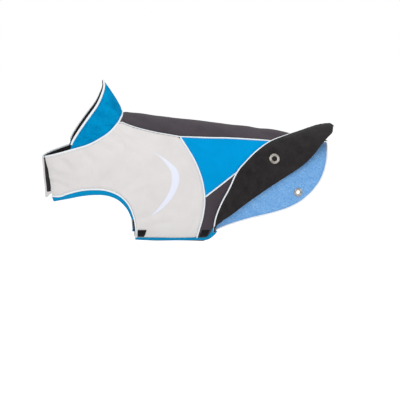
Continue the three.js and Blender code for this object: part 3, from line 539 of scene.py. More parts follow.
def shell(name, points, up, thick, kept=None, plan=None):
    """A closed thin shell of cloth whose outer face is the grid, with a rounded edge.

    Its inner faces take the second material.
    """
    n, m = points.shape[:2]
    kept = np.ones((n - 1, m - 1), bool) if kept is None else kept
    index = np.arange(n * m).reshape(n, m)
    quads = np.stack([index[:-1, :-1], index[1:, :-1], index[1:, 1:], index[:-1, 1:]], axis=-1)[kept]
    flip = np.sum(np.cross(points[1, 0] - points[0, 0], points[0, 1] - points[0, 0]) * up[0, 0]) < 0
    if flip:
        quads = quads[:, ::-1]
    edges = {}
    for quad in quads:
        for a, b in zip(quad, np.roll(quad, -1)):
            edges[int(a), int(b)] = True
    rim = [pair for pair in edges if (pair[1], pair[0]) not in edges]
    outer = points.reshape(-1, 3)
    normal = up.reshape(-1, 3)
    inner = outer - normal * thick
    middle_of = {}
    outward = {}
    for a, b in rim:
        way = np.cross(outer[b] - outer[a], normal[a])
        for v in (a, b):
            outward[v] = outward.get(v, 0) + unit(way)
    middles = []
    for v, way in outward.items():
        middle_of[v] = 2 * n * m + len(middles)
        middles.append(outer[v] - normal[v] * thick / 2 + unit(way) * thick * 0.35)
    faces = [tuple(quad) for quad in quads]
    faces += [(b, a, middle_of[a], middle_of[b]) for a, b in rim]
    outer_count = len(faces)
    faces += [tuple(quad[::-1] + n * m) for quad in quads]
    faces += [(middle_of[b], middle_of[a], a + n * m, b + n * m) for a, b in rim]
    verts = np.vstack([outer, inner, middles])
    used = sorted({int(v) for face in faces for v in face})
    place_of = {v: k for k, v in enumerate(used)}
    faces = [tuple(place_of[int(v)] for v in face) for face in faces]
    source = [v % (n * m) if v < 2 * n * m else None for v in used]
    middle_source = {k: v for v, k in middle_of.items()}
    source = [middle_source[v] if s is None else s for v, s in zip(used, source)]
    weave = np.stack([
        np.cumsum(np.linalg.norm(np.gradient(points, axis=0), axis=-1), axis=0),
        np.cumsum(np.linalg.norm(np.gradient(points, axis=1), axis=-1), axis=1),
    ], axis=-1).reshape(-1, 2)[source]
    maps = {"weave": weave * MM}
    if plan is not None:
        maps["plan"] = plan.reshape(-1, 2)[source] * MM
    piece = make_object(name, verts[used], faces, maps)
    piece.data.polygons.foreach_set("material_index", [int(k >= outer_count) for k in range(len(faces))])
    return piece


def make_object(name, verts, faces, maps=None):
    mesh = bpy.data.meshes.new(name)
    mesh.from_pydata((np.asarray(verts) * MM).tolist(), [], [tuple(int(v) for v in face) for face in faces])
    for layer_name, values in (maps or {}).items():
        layer = mesh.uv_layers.new(name=layer_name)
        corner = np.empty(len(mesh.loops), int)
        mesh.loops.foreach_get("vertex_index", corner)
        layer.data.foreach_set("uv", np.asarray(values)[corner].ravel())
    mesh.shade_smooth()
    mesh.update()
    piece = bpy.data.objects.new(name, mesh)
    bpy.context.collection.objects.link(piece)
    return piece


def dress(piece, slot, node, material=None):
    """Gives a piece its body and the material of its slot, or the material given, with a second material for
    its inner faces when the slot is cloth, and hides the imported part of the node that it stands for.
    """
    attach(piece, "root")
    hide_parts(node)
    piece.data.materials.append(material or materials[slot])
    if slot in LINED:
        piece.data.materials.append(materials["black_nap_fabric"])
    elif slot.endswith("fabric"):
        piece.data.materials.append(materials[slot])


def puffed(distances, seams, depth=1.0, reach=7.0):
    """Cloth sinks to its seams and stands a little proud beside them."""
    height = 0
    for distance, is_seam in zip(distances, seams):
        if is_seam:
            height = height - depth * np.exp(-distance / (0.35 * reach))
            height = height + 0.3 * depth * np.exp(-((distance / reach - 1) ** 2))
    return height


def puckered(distances, seams, amount=0.22):
    """Small uneven gathers that the sewing leaves along a seam."""
    low, high, start, end = distances
    height = 0
    for distance, run, is_seam in zip(distances, (start, start, low, low), seams):
        if is_seam:
            wave = np.sin(run * 0.71 + 1.3 * np.sin(run * 0.083)) * (0.6 + 0.4 * np.sin(run * 0.057 + 1.1))
            height = height + amount * wave * np.exp(-distance / 5)
    return height


STITCH_LONG = 2.3
STITCH_PITCH = 3.3
STITCH_HALF = 0.3
STITCH_RINGS = ((0, 0.35, -0.2), (0.25, 1, 0.12), (0.75, 1, 0.12), (1, 0.35, -0.2))
STITCH_SIDES = 5
THREAD_SET = 3.2


def row_at(points, up, edge, distance):
    """A line on a grid of cloth at a distance from one of its four edges, and the normals along it."""
    if edge > 1:
        points, up = points.swapaxes(0, 1), up.swapaxes(0, 1)
    if edge % 2:
        points, up = points[:, ::-1], up[:, ::-1]
    steps = np.linalg.norm(np.diff(points, axis=1), axis=-1)
    reach = np.hstack([np.zeros((len(points), 1)), np.cumsum(steps, axis=1)])
    row = [[np.interp(distance, far, rung[:, k]) for k in range(3)] for far, rung in zip(reach, points)]
    return np.array(row), up[:, min(2, up.shape[1] - 1)]


def ring_faces(rings, sides, first=0, looped=False):
    """The faces between rings of vertices in turn. looped joins the last ring to the first."""
    faces = []
    for i in range(rings if looped else rings - 1):
        here, there = first + i * sides, first + (i + 1) % rings * sides
        for k in range(sides):
            j = (k + 1) % sides
            faces.append((here + k, here + j, there + j, there + k))
    return faces


def sewn(*edges):
    """Rows of stitches at the usual distance from the edges named."""
    return [(edge, THREAD_SET) for edge in edges]


def threads(name, points, up, rows, slot):
    """Rows of small stitches on a grid of cloth. rows are (edge, distance from it)."""
    turn = 2 * np.pi * np.arange(STITCH_SIDES) / STITCH_SIDES
    verts, faces = [], []
    for edge, distance in rows:
        line_, normals = row_at(points, up, edge, distance)
        run = run_along(line_)
        for begin in np.arange(THREAD_SET + 1, run[-1] - THREAD_SET - STITCH_LONG, STITCH_PITCH):
            at = begin + STITCH_LONG * np.array([ring[0] for ring in STITCH_RINGS])
            spots = np.stack([np.interp(at, run, line_[:, k]) for k in range(3)], axis=-1)
            outward = unit(np.array([np.interp(begin, run, normals[:, k]) for k in range(3)]))
            side = unit(np.cross(spots[-1] - spots[0], outward))
            first = len(verts)
            for spot, (_, wide, high) in zip(spots, STITCH_RINGS):
                centre = spot + outward * high
                for a in turn:
                    verts.append(centre + STITCH_HALF * wide * (side * math.cos(a) + outward * math.sin(a)))
            faces += ring_faces(len(STITCH_RINGS), STITCH_SIDES, first)
    piece = make_object("thread_" + name, verts, faces)
    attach(piece, "root")
    piece.data.materials.append(thread_materials[slot])


LINED = ("pale_grey_fabric", "charcoal_fabric", "blue_fabric")


def cloth(name, grid, height, thick, slot, form=body, insets=(0, 0, 0, 0), seams=None, creases=(), seed=1,
          ripple=0.35, hole=None, dips=(), planned=False, rows=(),
          finish=None):
    """One cut piece of cloth on the form, finished; its flat size is worked out but not kept."""
    seams = [inset > 0 for inset in insets] if seams is None else seams
    up = form.normal(grid)
    base = form.point(grid)
    distances = edge_distance(base)
    spots = sight(base * [1, -1, 1]) if grid[..., 1].mean() < -8 else sight(base)
    relief = CREASE_GAIN * creased(spots, creases) + ripple * rippled(base, 70, seed)
    relief = relief + puffed(distances, seams) + puckered(distances, seams)
    points = base + up * (height(grid) + relief)[..., None]
    for centre, radius in dips:
        reach = np.linalg.norm(points - centre, axis=-1)
        points -= up * (0.5 * np.exp(-(((reach - radius) / 3.5) ** 2)))[..., None]
    points = drawn_in(points, up, *insets)
    kept = None
    if hole is not None:
        points, kept = hole_in(points, *hole)
    up = grid_normals(points, up)
    piece = shell("cloth_" + name, points, up, thick, kept, spots if planned else None)
    dress(piece, slot, name, finish)
    declare(points)
    if rows:
        threads(name, points, up, rows, slot)


def declare(points):
    """Works out a cut's flat size, from its own rows and rungs, rounded as a cutter would, and keeps none of
    it.
    """
    along = np.linalg.norm(np.diff(points, axis=0), axis=-1).sum(axis=0).max()
    across = np.linalg.norm(np.diff(points, axis=1), axis=-1).sum(axis=1).max()
    a, b = points[1:, 1:] - points[:-1, :-1], points[1:, :-1] - points[:-1, 1:]
    area = 0.5 * np.linalg.norm(np.cross(a, b), axis=-1).sum()
    across = min(across, area / (0.4 * along))
    along = max(along, 1.02 * area / across)
    wide, long = (round(side * MM, 3) for side in sorted((across, along)))
    wide = max(wide, 0.01)
    area = min(area * MM * MM, wide * long)


# Materials


def srgb(red, green, blue):
    linear = [c / 255 / 12.92 if c <= 10 else ((c / 255 + 0.055) / 1.055) ** 2.4 for c in (red, green, blue)]
    return (*linear, 1)


class Recipe:
    """A node tree that ends in one Principled shader."""

    def __init__(self, name, roughness, sheen=0.0, sheen_tint=(1, 1, 1), metallic=0.0, specular=0.12):
        self.material = bpy.data.materials.new(name)
        self.material.use_nodes = True
        self.tree = self.material.node_tree
        self.shader = self.tree.nodes["Principled BSDF"]
        self.shader.inputs["Roughness"].default_value = roughness
        self.shader.inputs["Sheen Weight"].default_value = sheen
        self.shader.inputs["Sheen Roughness"].default_value = 0.55
        self.shader.inputs["Sheen Tint"].default_value = (*sheen_tint, 1)
        self.shader.inputs["Metallic"].default_value = metallic
        self.shader.inputs["Specular IOR Level"].default_value = specular if metallic < 0.5 else 0.5
        self.place = self.node("ShaderNodeTexCoord").outputs["Object"]

    def node(self, kind, **values):
        made = self.tree.nodes.new(kind)
        for key, value in values.items():
            setattr(made, key, value)
        return made

    def link(self, a, b):
        self.tree.links.new(a, b)

    def noise(self, scale, detail=3.0, rough=0.55, stretch=None):
        made = self.node("ShaderNodeTexNoise")
        made.inputs["Scale"].default_value = scale
        made.inputs["Detail"].default_value = detail
        made.inputs["Roughness"].default_value = rough
        source = self.place
        if stretch:
            mapping = self.node("ShaderNodeMapping")
            mapping.inputs["Scale"].default_value = stretch
            self.link(source, mapping.inputs["Vector"])
            source = mapping.outputs["Vector"]
        self.link(source, made.inputs["Vector"])
        return made.outputs["Fac"]

    def math(self, operation, a, b, clamp=False):
        made = self.node("ShaderNodeMath", operation=operation, use_clamp=clamp)
        for socket, value in zip(made.inputs, (a, b)):
            if isinstance(value, (int, float)):
                socket.default_value = value
            else:
                self.link(value, socket)
        return made.outputs[0]

    def sum_of(self, a, share_a, b, share_b):
        return self.math("ADD", self.math("MULTIPLY", a, share_a), self.math("MULTIPLY", b, share_b))

    def ramp(self, value, *stops):
        """Colours along a value. Each stop is its place and its colour in display levels."""
        made = self.node("ShaderNodeValToRGB")
        elements = made.color_ramp.elements
        while len(elements) < len(stops):
            elements.new(0.5)
        for element, (at, colour) in zip(elements, stops):
            element.position = at
            element.color = srgb(*colour)
        self.link(value, made.inputs["Fac"])
        return made.outputs["Color"]

    def mapped(self, name):
        """The two coordinates of one of the cloth's own maps."""
        split = self.node("ShaderNodeSeparateXYZ")
        self.link(self.node("ShaderNodeUVMap", uv_map=name).outputs["UV"], split.inputs["Vector"])
        return split.outputs["X"], split.outputs["Y"]

    def waves(self, value, pitch):
        """Even waves along a value in metres, at a pitch in millimetres."""
        return self.math("SINE", self.math("MULTIPLY", value, 2 * math.pi / (pitch * MM)), 0)

    def weave(self, pitch):
        """Over-and-under threads."""
        return self.math("MULTIPLY", *[self.waves(value, pitch) for value in self.mapped("weave")])

    def mix(self, factor, a, b):
        made = self.node("ShaderNodeMix", data_type="RGBA")
        for socket, value in ((made.inputs["Factor"], factor), (made.inputs["A"], a), (made.inputs["B"], b)):
            if isinstance(value, (tuple, float, int)):
                socket.default_value = value
            else:
                self.link(value, socket)
        return made.outputs["Result"]

    def finish(self, colour, height=None, depth=0.2, strength=0.5):
        if isinstance(colour, tuple):
            self.shader.inputs["Base Color"].default_value = colour
        else:
            self.link(colour, self.shader.inputs["Base Color"])
        if height is not None:
            bump = self.node("ShaderNodeBump")
            bump.inputs["Strength"].default_value = strength
            bump.inputs["Distance"].default_value = depth * MM
            self.link(height, bump.inputs["Height"])
            self.link(bump.outputs["Normal"], self.shader.inputs["Normal"])
        return self.material


def woven(name, low, high, pitch, roughness=0.86, sheen=0.1, slow=24, specular=0.12, print_mask=None):
    """A plain weave whose colour drifts slowly and flecks with its threads."""
    recipe = Recipe(name, roughness, sheen, specular=specular)
    drift = recipe.noise(slow, 4, 0.6)
    fibre = recipe.noise(1500, 2, 0.7)
    colour = recipe.ramp(recipe.sum_of(drift, 0.65, fibre, 0.35), (0.3, low), (0.7, high))
    if print_mask:
        colour = print_mask(recipe, colour)
    height = recipe.sum_of(recipe.weave(pitch), 0.6, fibre, 0.8)
    return recipe.finish(colour, height, depth=0.16, strength=0.45)


# The reflective crescent of the side panels: up, its inner edge and its outer edge, in the view.
CRESCENT = [
    (-36, -101, -100), (-22, -89.5, -80.5), (-8, -77.7, -65), (10, -66, -51.5), (27, -59, -43.5),
    (43, -57, -40.4), (57, -59, -43), (70, -67, -53.5), (84, -79, -71.5), (97, -95, -93),
]
CRESCENT_SOFT = 1.8
CRESCENT_SPAN = 240
CRESCENT_COLOUR = (236, 240, 255)


def crescent(recipe, colour):
    across, up = (recipe.math("DIVIDE", value, CRESCENT_SPAN * MM) for value in recipe.mapped("plan"))
    up = recipe.math("ADD", up, 0.5)

    def edge(column):
        node = recipe.node("ShaderNodeFloatCurve")
        curve = node.mapping.curves[0]
        rows = [(row[0] / CRESCENT_SPAN + 0.5, row[column] / CRESCENT_SPAN + 1) for row in CRESCENT]
        curve.points[0].location = (0, rows[0][1] - 0.1)
        curve.points[-1].location = (1, rows[-1][1] - 0.1)
        for at, value in rows:
            curve.points.new(at, value)
        node.mapping.update()
        recipe.link(up, node.inputs["Value"])
        return recipe.math("SUBTRACT", node.outputs["Value"], 1.0)

    soft = CRESCENT_SOFT / CRESCENT_SPAN
    past_inner = recipe.math("DIVIDE", recipe.math("SUBTRACT", across, edge(1)), soft, clamp=True)
    within_outer = recipe.math("DIVIDE", recipe.math("SUBTRACT", edge(2), across), soft, clamp=True)
    above = recipe.math("GREATER_THAN", up, CRESCENT[0][0] / CRESCENT_SPAN + 0.5)
    below = recipe.math("LESS_THAN", up, CRESCENT[-1][0] / CRESCENT_SPAN + 0.5)
    inside = recipe.math("MULTIPLY", past_inner, within_outer)
    mask = recipe.math("MULTIPLY", inside, recipe.math("MULTIPLY", above, below))
    speckle = recipe.math("ADD", 0.8, recipe.math("MULTIPLY", recipe.noise(700, 1, 0.5), 0.3))
    return recipe.mix(recipe.math("MULTIPLY", mask, speckle, clamp=True), colour, srgb(*CRESCENT_COLOUR))


def heather(name, dark, middle, light, depth=0.3, mottle_and_shade=0.12):
    """A flecked knit. Its last argument is how far its colour wanders over a hand's breadth: the knit's own
    uneven colour where it is small, and painted soft shade as well where it is large, as on the collar.
    """
    recipe = Recipe(name, 0.95, 0.0, specular=0.03)
    grain = recipe.noise(620, 3, 0.75)
    strand = recipe.noise(260, 2, 0.6, stretch=(1, 1, 2.6))
    value = recipe.sum_of(grain, 0.6, strand, 0.4)
    # Slow patches of darker and lighter colour: the knit's own where they are faint, and painted soft shade
    # where they are strong, as on the collar.
    drift = recipe.math("SUBTRACT", recipe.noise(38, 3, 0.55, stretch=(1, 1, 1.7)), 0.5)
    value = recipe.math("ADD", value, recipe.math("MULTIPLY", drift, mottle_and_shade))
    colour = recipe.ramp(value, (0.36, dark), (0.5, middle), (0.64, light))
    return recipe.finish(colour, recipe.math("ADD", grain, recipe.weave(1.1)), depth=depth, strength=0.4)


def napped(name, low, high):
    recipe = Recipe(name, 0.95, 0.12, (0.8, 0.78, 0.8))
    patches = recipe.noise(55, 4, 0.6)
    hairs = recipe.noise(1100, 3, 0.8, stretch=(1, 1, 0.45))
    colour = recipe.ramp(recipe.sum_of(patches, 0.45, hairs, 0.55), (0.34, low), (0.66, high))
    height = recipe.math("ADD", hairs, recipe.math("MULTIPLY", patches, 0.5))
    return recipe.finish(colour, height, depth=0.5, strength=0.7)


def corded(name, low, high):
    recipe = Recipe(name, 0.5, 0.3)
    fibre = recipe.noise(900, 2, 0.6)
    colour = recipe.ramp(fibre, (0.3, low), (0.7, high))
    return recipe.finish(colour, fibre, depth=0.1, strength=0.35)


def ribbed(name, low, high):
    recipe = Recipe(name, 0.85, 0.0, specular=0.03)
    fibre = recipe.noise(800, 2, 0.6)
    ribs = recipe.waves(recipe.mapped("weave")[0], 0.9)
    colour = recipe.ramp(fibre, (0.3, low), (0.7, high))
    return recipe.finish(colour, recipe.math("ADD", ribs, fibre), depth=0.15, strength=0.5)


def steel(name):
    recipe = Recipe(name, 0.3, metallic=1.0)
    worn = recipe.noise(240, 3, 0.6)
    colour = recipe.ramp(worn, (0.3, (150, 144, 136)), (0.7, (206, 201, 193)))
    return recipe.finish(colour, recipe.noise(1800, 2, 0.5), depth=0.03, strength=0.25)


materials = {
    "pale_grey_fabric": woven("grey cloth", (221, 217, 216), (231, 228, 227), 0.7, print_mask=crescent),
    "charcoal_fabric": woven("charcoal cloth", (64, 58, 64), (80, 73, 79), 0.8, roughness=0.92, sheen=0.08),
    "blue_fabric": woven(
        "blue cloth", (0, 148, 212), (0, 160, 226), 0.7, roughness=0.95, sheen=0.0, specular=0.03,
    ),
    # The collar's strong colour patches are painted soft shade, darker and lighter over a hand's breadth.
    "collar_blue_fabric": heather(
        "collar knit", (0, 122, 178), (0, 141, 198), (0, 156, 214), depth=0.2, mottle_and_shade=0.55,
    ),
    "binding_blue_fabric": ribbed("binding tape", (0, 132, 186), (14, 158, 212)),
    "light_blue_heather_fabric": heather("heather knit", (88, 148, 214), (120, 176, 232), (160, 204, 246)),
    "black_nap_fabric": napped("black nap", (24, 22, 23), (50, 47, 48)),
    "near_white_piping": corded("piping cord", (228, 238, 244), (250, 252, 253)),
    "eyelet_steel": steel("eyelet steel"),
}
tape_hooks = napped("hook tape", (7, 6, 8), (24, 22, 24))
thread_materials = {
    "pale_grey_fabric": corded("grey thread", (196, 192, 193), (220, 216, 216)),
    "charcoal_fabric": corded("charcoal thread", (46, 42, 48), (66, 62, 68)),
    "blue_fabric": corded("blue thread", (0, 120, 182), (20, 144, 206)),
    "collar_blue_fabric": corded("collar thread", (0, 96, 148), (4, 120, 172)),
    "binding_blue_fabric": corded("binding thread", (0, 104, 156), (10, 126, 180)),
    "light_blue_heather_fabric": corded("heather thread", (84, 140, 204), (116, 168, 226)),
    "black_nap_fabric": corded("black thread", (12, 11, 12), (34, 32, 34)),
}

# Seams as places of the form

neck_left = seam(NECK_SEAM, chest_lift)
neck_far = mirrored(seam(NECK_SEAM))
nape = np.array([(NAPE_RIB - NAPE_SAG * turn * turn, -turn) for turn in np.arange(-14, 14.1, 2)])
back_corner = seam(BACK_FRONT)
back_left = seam(BACK_REAR)
back_far = mirrored(seam(BACK_FAR))
rear_upper = seam(REAR_UPPER)
rear_lower = seam(REAR_LOWER)
insert_low = seam(INSERT_LOW)
insert_top = seam(INSERT_TOP)
insert_apex = body.locate([INSERT_POINT], flat)
# The first step of the far back seam that lies past the insert's point.
PAST_INSERT = 39
flank_top = seam(FLANK_TOP)
arch_left = seam(LEG_ARCH, chest_lift)
arch_far = mirrored(seam(LEG_ARCH))
arch_turn = round(len(arch_left) * ARCH_TURN)
hem_left = seam(HEM)
hem_corner = seam(HEM_REAR, steps=16)
chest_left = seam(CHEST_END, chest_lift)
fold_left = seam(aside(FLANK_FOLD, ROLL))
skirt_low = seam(SKIRT_EDGE)
skirt_back = seam(SKIRT_REAR)
inner_low = seam(SKIRT_EDGE, inner_top)
inner_back = seam(SKIRT_REAR, inner_top)


def lifted(far, more=0.0):
    return level(more) if far else lambda place: more + chest_lift(place)


def side_of(far):
    return "right" if far else "left"


# Panels


def side_panel(far):
    neck, arch = (neck_far, arch_far) if far else (neck_left, arch_left)
    high = [neck, joined(neck[-1], flipped(back_corner, far))]
    low = [arch[:arch_turn + 1], joined(arch[arch_turn:], flipped(hem_left, far))]
    if far:
        high.insert(0, line(TUCK_TOP, neck_far[0]))
        low.insert(0, line(TUCK_LOW, arch_far[0]))
    start = line(TUCK_LOW, TUCK_TOP) if far else chest_left[::-1]
    end = flipped(joined(rear_upper, rear_lower), far)[::-1]
    cloth("side_panel_" + side_of(far), patch(low, high, start, end), lifted(far), SHELL, "pale_grey_fabric",
          insets=(ARCH_HALF, SEAM_HALF, 0, SEAM_HALF), creases=FAR_CREASES if far else SIDE_CREASES,
          seed=4 if far else 1, planned=True,
          rows=[(LOW, 3.4), *sewn(HIGH, END), (START, 4), (START, 6.5)])


def back_panel():
    low = [joined(neck_left[-1], back_corner), back_left]
    high = [joined(neck_far[-1], mirrored(back_corner)), back_far]
    start = joined(neck_left[-1], nape, neck_far[-1])
    end = np.vstack([back_left[-1], body.locate([FOLD_TOP], flat)[0], TAIL[0], back_far[-1]])
    cloth("back_panel", patch(low, high, start, end), flat, SHELL, "charcoal_fabric",
          insets=(SEAM_HALF, SEAM_HALF, 2, SEAM_HALF), creases=BACK_CREASES, seed=2, ripple=0.5,
          rows=[*sewn(LOW, HIGH, START), (END, 5)])


def side_insert(far):
    low, high = flipped(insert_low, far), flipped(insert_top, far)
    grid = patch([low], [high], flipped(rear_upper, far)[::-1], line(low[-1], high[-1]))
    cloth("side_insert_" + side_of(far), grid, flat, SHELL, "blue_fabric",
          insets=(SEAM_HALF, SEAM_HALF, SEAM_HALF, 1), creases=INSERT_CREASES, seed=6 if far else 3,
          rows=sewn(LOW, HIGH, START))


def flank_panel():
    low = [hem_corner, joined(hem_corner[-1], fold_left)]
    high = [insert_low, joined(insert_low[-1], flank_top)]
    grid = patch(low, high, rear_lower[::-1], line(fold_left[-1], flank_top[-1]))
    cloth("flank_panel_left", grid, flat, SHELL, "charcoal_fabric", insets=(1, SEAM_HALF, SEAM_HALF, 1),
          seed=5, rows=sewn(HIGH, START))


def on_form(place, height, form=body):
    return form.raised(place, height), form.normal(place)


flap_place = wing.locate([FLAP_EYELET], level(FLAP_LINING_TOP))[0]
skirt_place = body.locate([SKIRT_EYELET], inner_top)[0]
far_place = mirrored(skirt_place)
flap_hole, flap_up = on_form(flap_place, FLAP_LINING_TOP, wing)
inner_hole, inner_up = on_form(skirt_place, INNER_TOP)
far_hole, far_up = on_form(far_place, 0)
far_inner_hole, _ = on_form(far_place, inner_top(far_place) - INNER)
BARREL = 1


def skirt_panel():
    insert_far = mirrored(insert_low)
    low = [mirrored(hem_corner), mirrored(joined(hem_corner[-1], skirt_low))]
    high = [insert_far, joined(insert_far[-1], mirrored(insert_apex)[0], back_far[PAST_INSERT:])]
    grid = patch(low, high, mirrored(rear_lower[::-1]), mirrored(skirt_back))
    cloth("skirt_panel_right", grid, flat, SHELL, "charcoal_fabric", seed=7, creases=SKIRT_CREASES,
          insets=(SEAM_HALF, 2, SEAM_HALF, SEAM_HALF), hole=(far_hole, SMALL_EYELET[0] + BARREL),
          dips=[(far_hole, SMALL_EYELET[1])],
          rows=sewn(LOW, HIGH, START, END))


def inner_skirt():
    corner = body.locate([INNER_CORNER], inner_top)
    low = joined(corner, inner_low)
    rear = np.vstack([inner_back, TAIL, mirrored(inner_back)[::-1]])
    front = np.vstack([corner, INNER_FRONT, mirrored(corner)])
    grid = patch([low], [mirrored(low)], front, rear)
    up = body.normal(grid)
    base = body.point(grid)
    distances = edge_distance(base)
    spots = sight(base * np.where(grid[..., 1:] < 0, [1, -1, 1], [1, 1, 1]))
    seams = (True, True, False, True)
    relief = creased(spots, SKIRT_CREASES) + 0.4 * rippled(base, 60, 8)
    relief += puffed(distances, seams) + puckered(distances, seams)
    points = base + up * (inner_top(grid) + relief)[..., None]
    points = drawn_in(points, up, SEAM_HALF, SEAM_HALF, 0, SEAM_HALF)
    near, kept_near = hole_in(points, inner_hole, SMALL_EYELET[0] + BARREL)
    both, kept_far = hole_in(near, far_inner_hole, SMALL_EYELET[0] + BARREL)
    up = grid_normals(both, up)
    piece = shell("cloth_inner_skirt", both, up, INNER, kept_near & kept_far)
    dress(piece, "light_blue_heather_fabric", "inner_skirt")
    declare(points)
    threads("inner_skirt", both, up, [(LOW, 4), (HIGH, 4), (END, 4)], "light_blue_heather_fabric")


# The collar


def collar_seam():
    tip = body.locate([COLLAR_TIP], flat)
    kept = neck_left[sight(body.point(neck_left))[:, 0] > COLLAR_TIP[0] + 4]
    near = joined(tip, kept)
    return np.vstack([near, nape, mirrored(near)[::-1]])


def collar_rim():
    near = seam(COLLAR_EDGE)
    share = np.linspace(0.9, 0.1, 9)
    crown = np.stack([COLLAR_RIB - (COLLAR_RIB - near[-1, 0]) * share**2, near[-1, 1] * share], axis=-1)
    near = np.vstack([near, crown])
    return np.vstack([near, [[COLLAR_RIB, 0]], mirrored(near)[::-1]])


def collar():
    low, high = collar_seam(), collar_rim()
    grid = strip(low, high)
    edge = (HIGH, THREAD_SET + 1)
    cloth("collar", grid, flat, SHELL, "collar_blue_fabric", insets=(SEAM_HALF, COLLAR_EDGE_HALF, 1, 1),
          creases=COLLAR_CREASES, seed=9, ripple=0.5, rows=[*sewn(LOW), edge])
    cloth("collar_lining", grid, level(-SHELL - GAP), LINING, "black_nap_fabric",
          insets=(SEAM_HALF, COLLAR_EDGE_HALF, 1, 1), creases=COLLAR_CREASES, seed=9, ripple=0.5, rows=[edge])


# The turned-up flap


def flap_grid():
    outer = level(FLAP_LINING_TOP)
    fold = seam(aside(FOLD_LINE, ROLL), outer, wing)
    tip = seam(aside(FLAP_TIP, ROLL), outer, wing, steps=20)
    edge = seam(FLAP_EDGE, outer, wing)
    nose = wing.locate([FLAP_NOSE], outer)[0]
    ridge = joined(edge[-1], line(edge[-1], FLAP_RIDGE[0]), *FLAP_RIDGE[1:], nose)
    low, high = [fold, joined(fold[-1], tip)], [edge, ridge]
    counts = [max(cells(a, wing), cells(b, wing)) for a, b in zip(low, high)]
    return patch(low, high, line(fold[0], edge[0]), line(tip[-1], ridge[-1]), wing), counts


def under_flap(counts, distance, height):
    """The line that the rolled edge starts from. It leaves the body's form for the flap's towards the tail.

    Along the tip it comes to lie straight beneath the flap's own edge.
    """
    spots = aside(FOLD_LINE, ROLL + distance)
    on_body = spread(seam(spots), counts[0])
    on_wing = spread(seam(spots, flat, wing), counts[0], wing)
    share = smooth(np.linspace(0, 1, counts[0] + 1), *FOLD_RISE)[:, None]
    normal = unit(body.normal(on_body) * (1 - share) + wing.normal(on_wing) * share)
    fold = body.point(on_body) + body.normal(on_body) * height
    fold += (wing.point(on_wing) + wing.normal(on_wing) * height - fold) * share
    rim = aside(FLAP_TIP, ROLL + distance / 2)
    below = spread(seam(rim, flat, wing, steps=20), counts[1], wing)
    above = spread(seam(rim, level(FLAP_LINING_TOP), wing, steps=20), counts[1], wing)
    tip = (below + (above - below) * np.linspace(0, 1, len(below))[:, None])[1:]
    points = np.vstack([fold, wing.point(tip) + wing.normal(tip) * height])
    return points, np.vstack([normal, wing.normal(tip)])


def flap_cloth(name, grid, counts, more, tuck, thick, slot, relief):
    """One cloth of the flap, with its rolled edge. more is how far it lies outside the shell's own cloth."""
    outside = wing.normal(grid)
    face = wing.point(grid) + outside * (FLAP_SHELL_TOP + more + relief)[..., None]
    core = wing.point(grid) + outside * FLAP_SHELL_TOP
    inside, _ = under_flap(counts, 0, -SHELL)
    tucked, tucked_up = under_flap(counts, tuck, -SHELL - more)
    near, _ = under_flap(counts, TUCK_LEAST, -SHELL - more)
    taper = smooth(np.linspace(0, 1, len(near)), *TUCK_TAPER)[:, None]
    tucked = tucked + (near - tucked) * taper
    centre = (inside + core[:, 0]) / 2
    tall = np.linalg.norm(core[:, 0] - inside, axis=-1) / 2
    outward = unit(core[:, 0] - inside)
    beyond = core[:, 0] - core[:, 1]
    beyond = unit(beyond - outward * np.sum(beyond * outward, axis=-1, keepdims=True))
    wide = np.minimum(tall, FOLD_WIDE) + more
    tall = tall + more
    columns, ups = [], []
    if tuck:
        for share in np.linspace(1, 0.2, 5):
            columns.append(inside - outward * more + (tucked - inside + outward * more) * share)
            ups.append(-tucked_up)
    for turn in range(FOLD_TURNS + 1):
        angle = math.pi * turn / FOLD_TURNS
        c, s = math.cos(angle), math.sin(angle)
        columns.append(centre - outward * (tall * c)[:, None] + beyond * (wide * s)[:, None])
        ups.append(unit(outward * (-c / tall)[:, None] + beyond * (s / wide)[:, None]))
    points = np.concatenate([np.stack(columns, axis=1), face[:, 1:]], axis=1)
    up = np.concatenate([np.stack(ups, axis=1), outside[:, 1:]], axis=1)
    points = drawn_in(points, up, 0, SEAM_HALF, 0, 0)
    up = grid_normals(points, up)
    points, kept = hole_in(points, flap_hole, LARGE_EYELET[0] + BARREL)
    piece = shell("cloth_" + name, points, up, thick, kept)
    dress(piece, slot, name)
    declare(points)
    threads(name, points, up, sewn(HIGH), slot)


def flap():
    grid, counts = flap_grid()
    base = wing.point(grid)
    distances = edge_distance(base)
    from_fold = distances[0]
    relief = creased(sight(base), FLAP_CREASES) * smooth(from_fold, 0, 14)
    relief = relief + 0.5 * rippled(base, 80, 11) * smooth(from_fold, 0, 10)
    relief = relief + puckered(distances, (False, True, False, False), 0.25) * smooth(from_fold, 0, 10)
    reach = np.linalg.norm(base + wing.normal(grid) * FLAP_LINING_TOP - flap_hole, axis=-1)
    relief = relief * smooth(reach, 4, 16) - 0.5 * np.exp(-(((reach - LARGE_EYELET[1]) / 3) ** 2))
    flap_cloth("flap_shell_left", grid, counts, 0, 0, SHELL, "charcoal_fabric", relief)
    flap_cloth("flap_lining_left", grid, counts, FLAP_LINING_TOP - FLAP_SHELL_TOP, FLAP_TUCK, FLAP_LINING,
               "black_nap_fabric", relief)


# Bands and tape


def facing(far):
    low = flipped(seam(FACING_EDGE, lifted(far)), far)
    high = flipped(seam(FACING_TOP, lifted(far)), far)
    cloth("arch_facing_" + side_of(far), strip(low, high), lifted(far, -0.5), SHELL,
          "binding_blue_fabric", insets=(0, ARCH_HALF, 0, 0), seed=12, ripple=0.25,
          rows=[(LOW, 2), (HIGH, 2.6)])


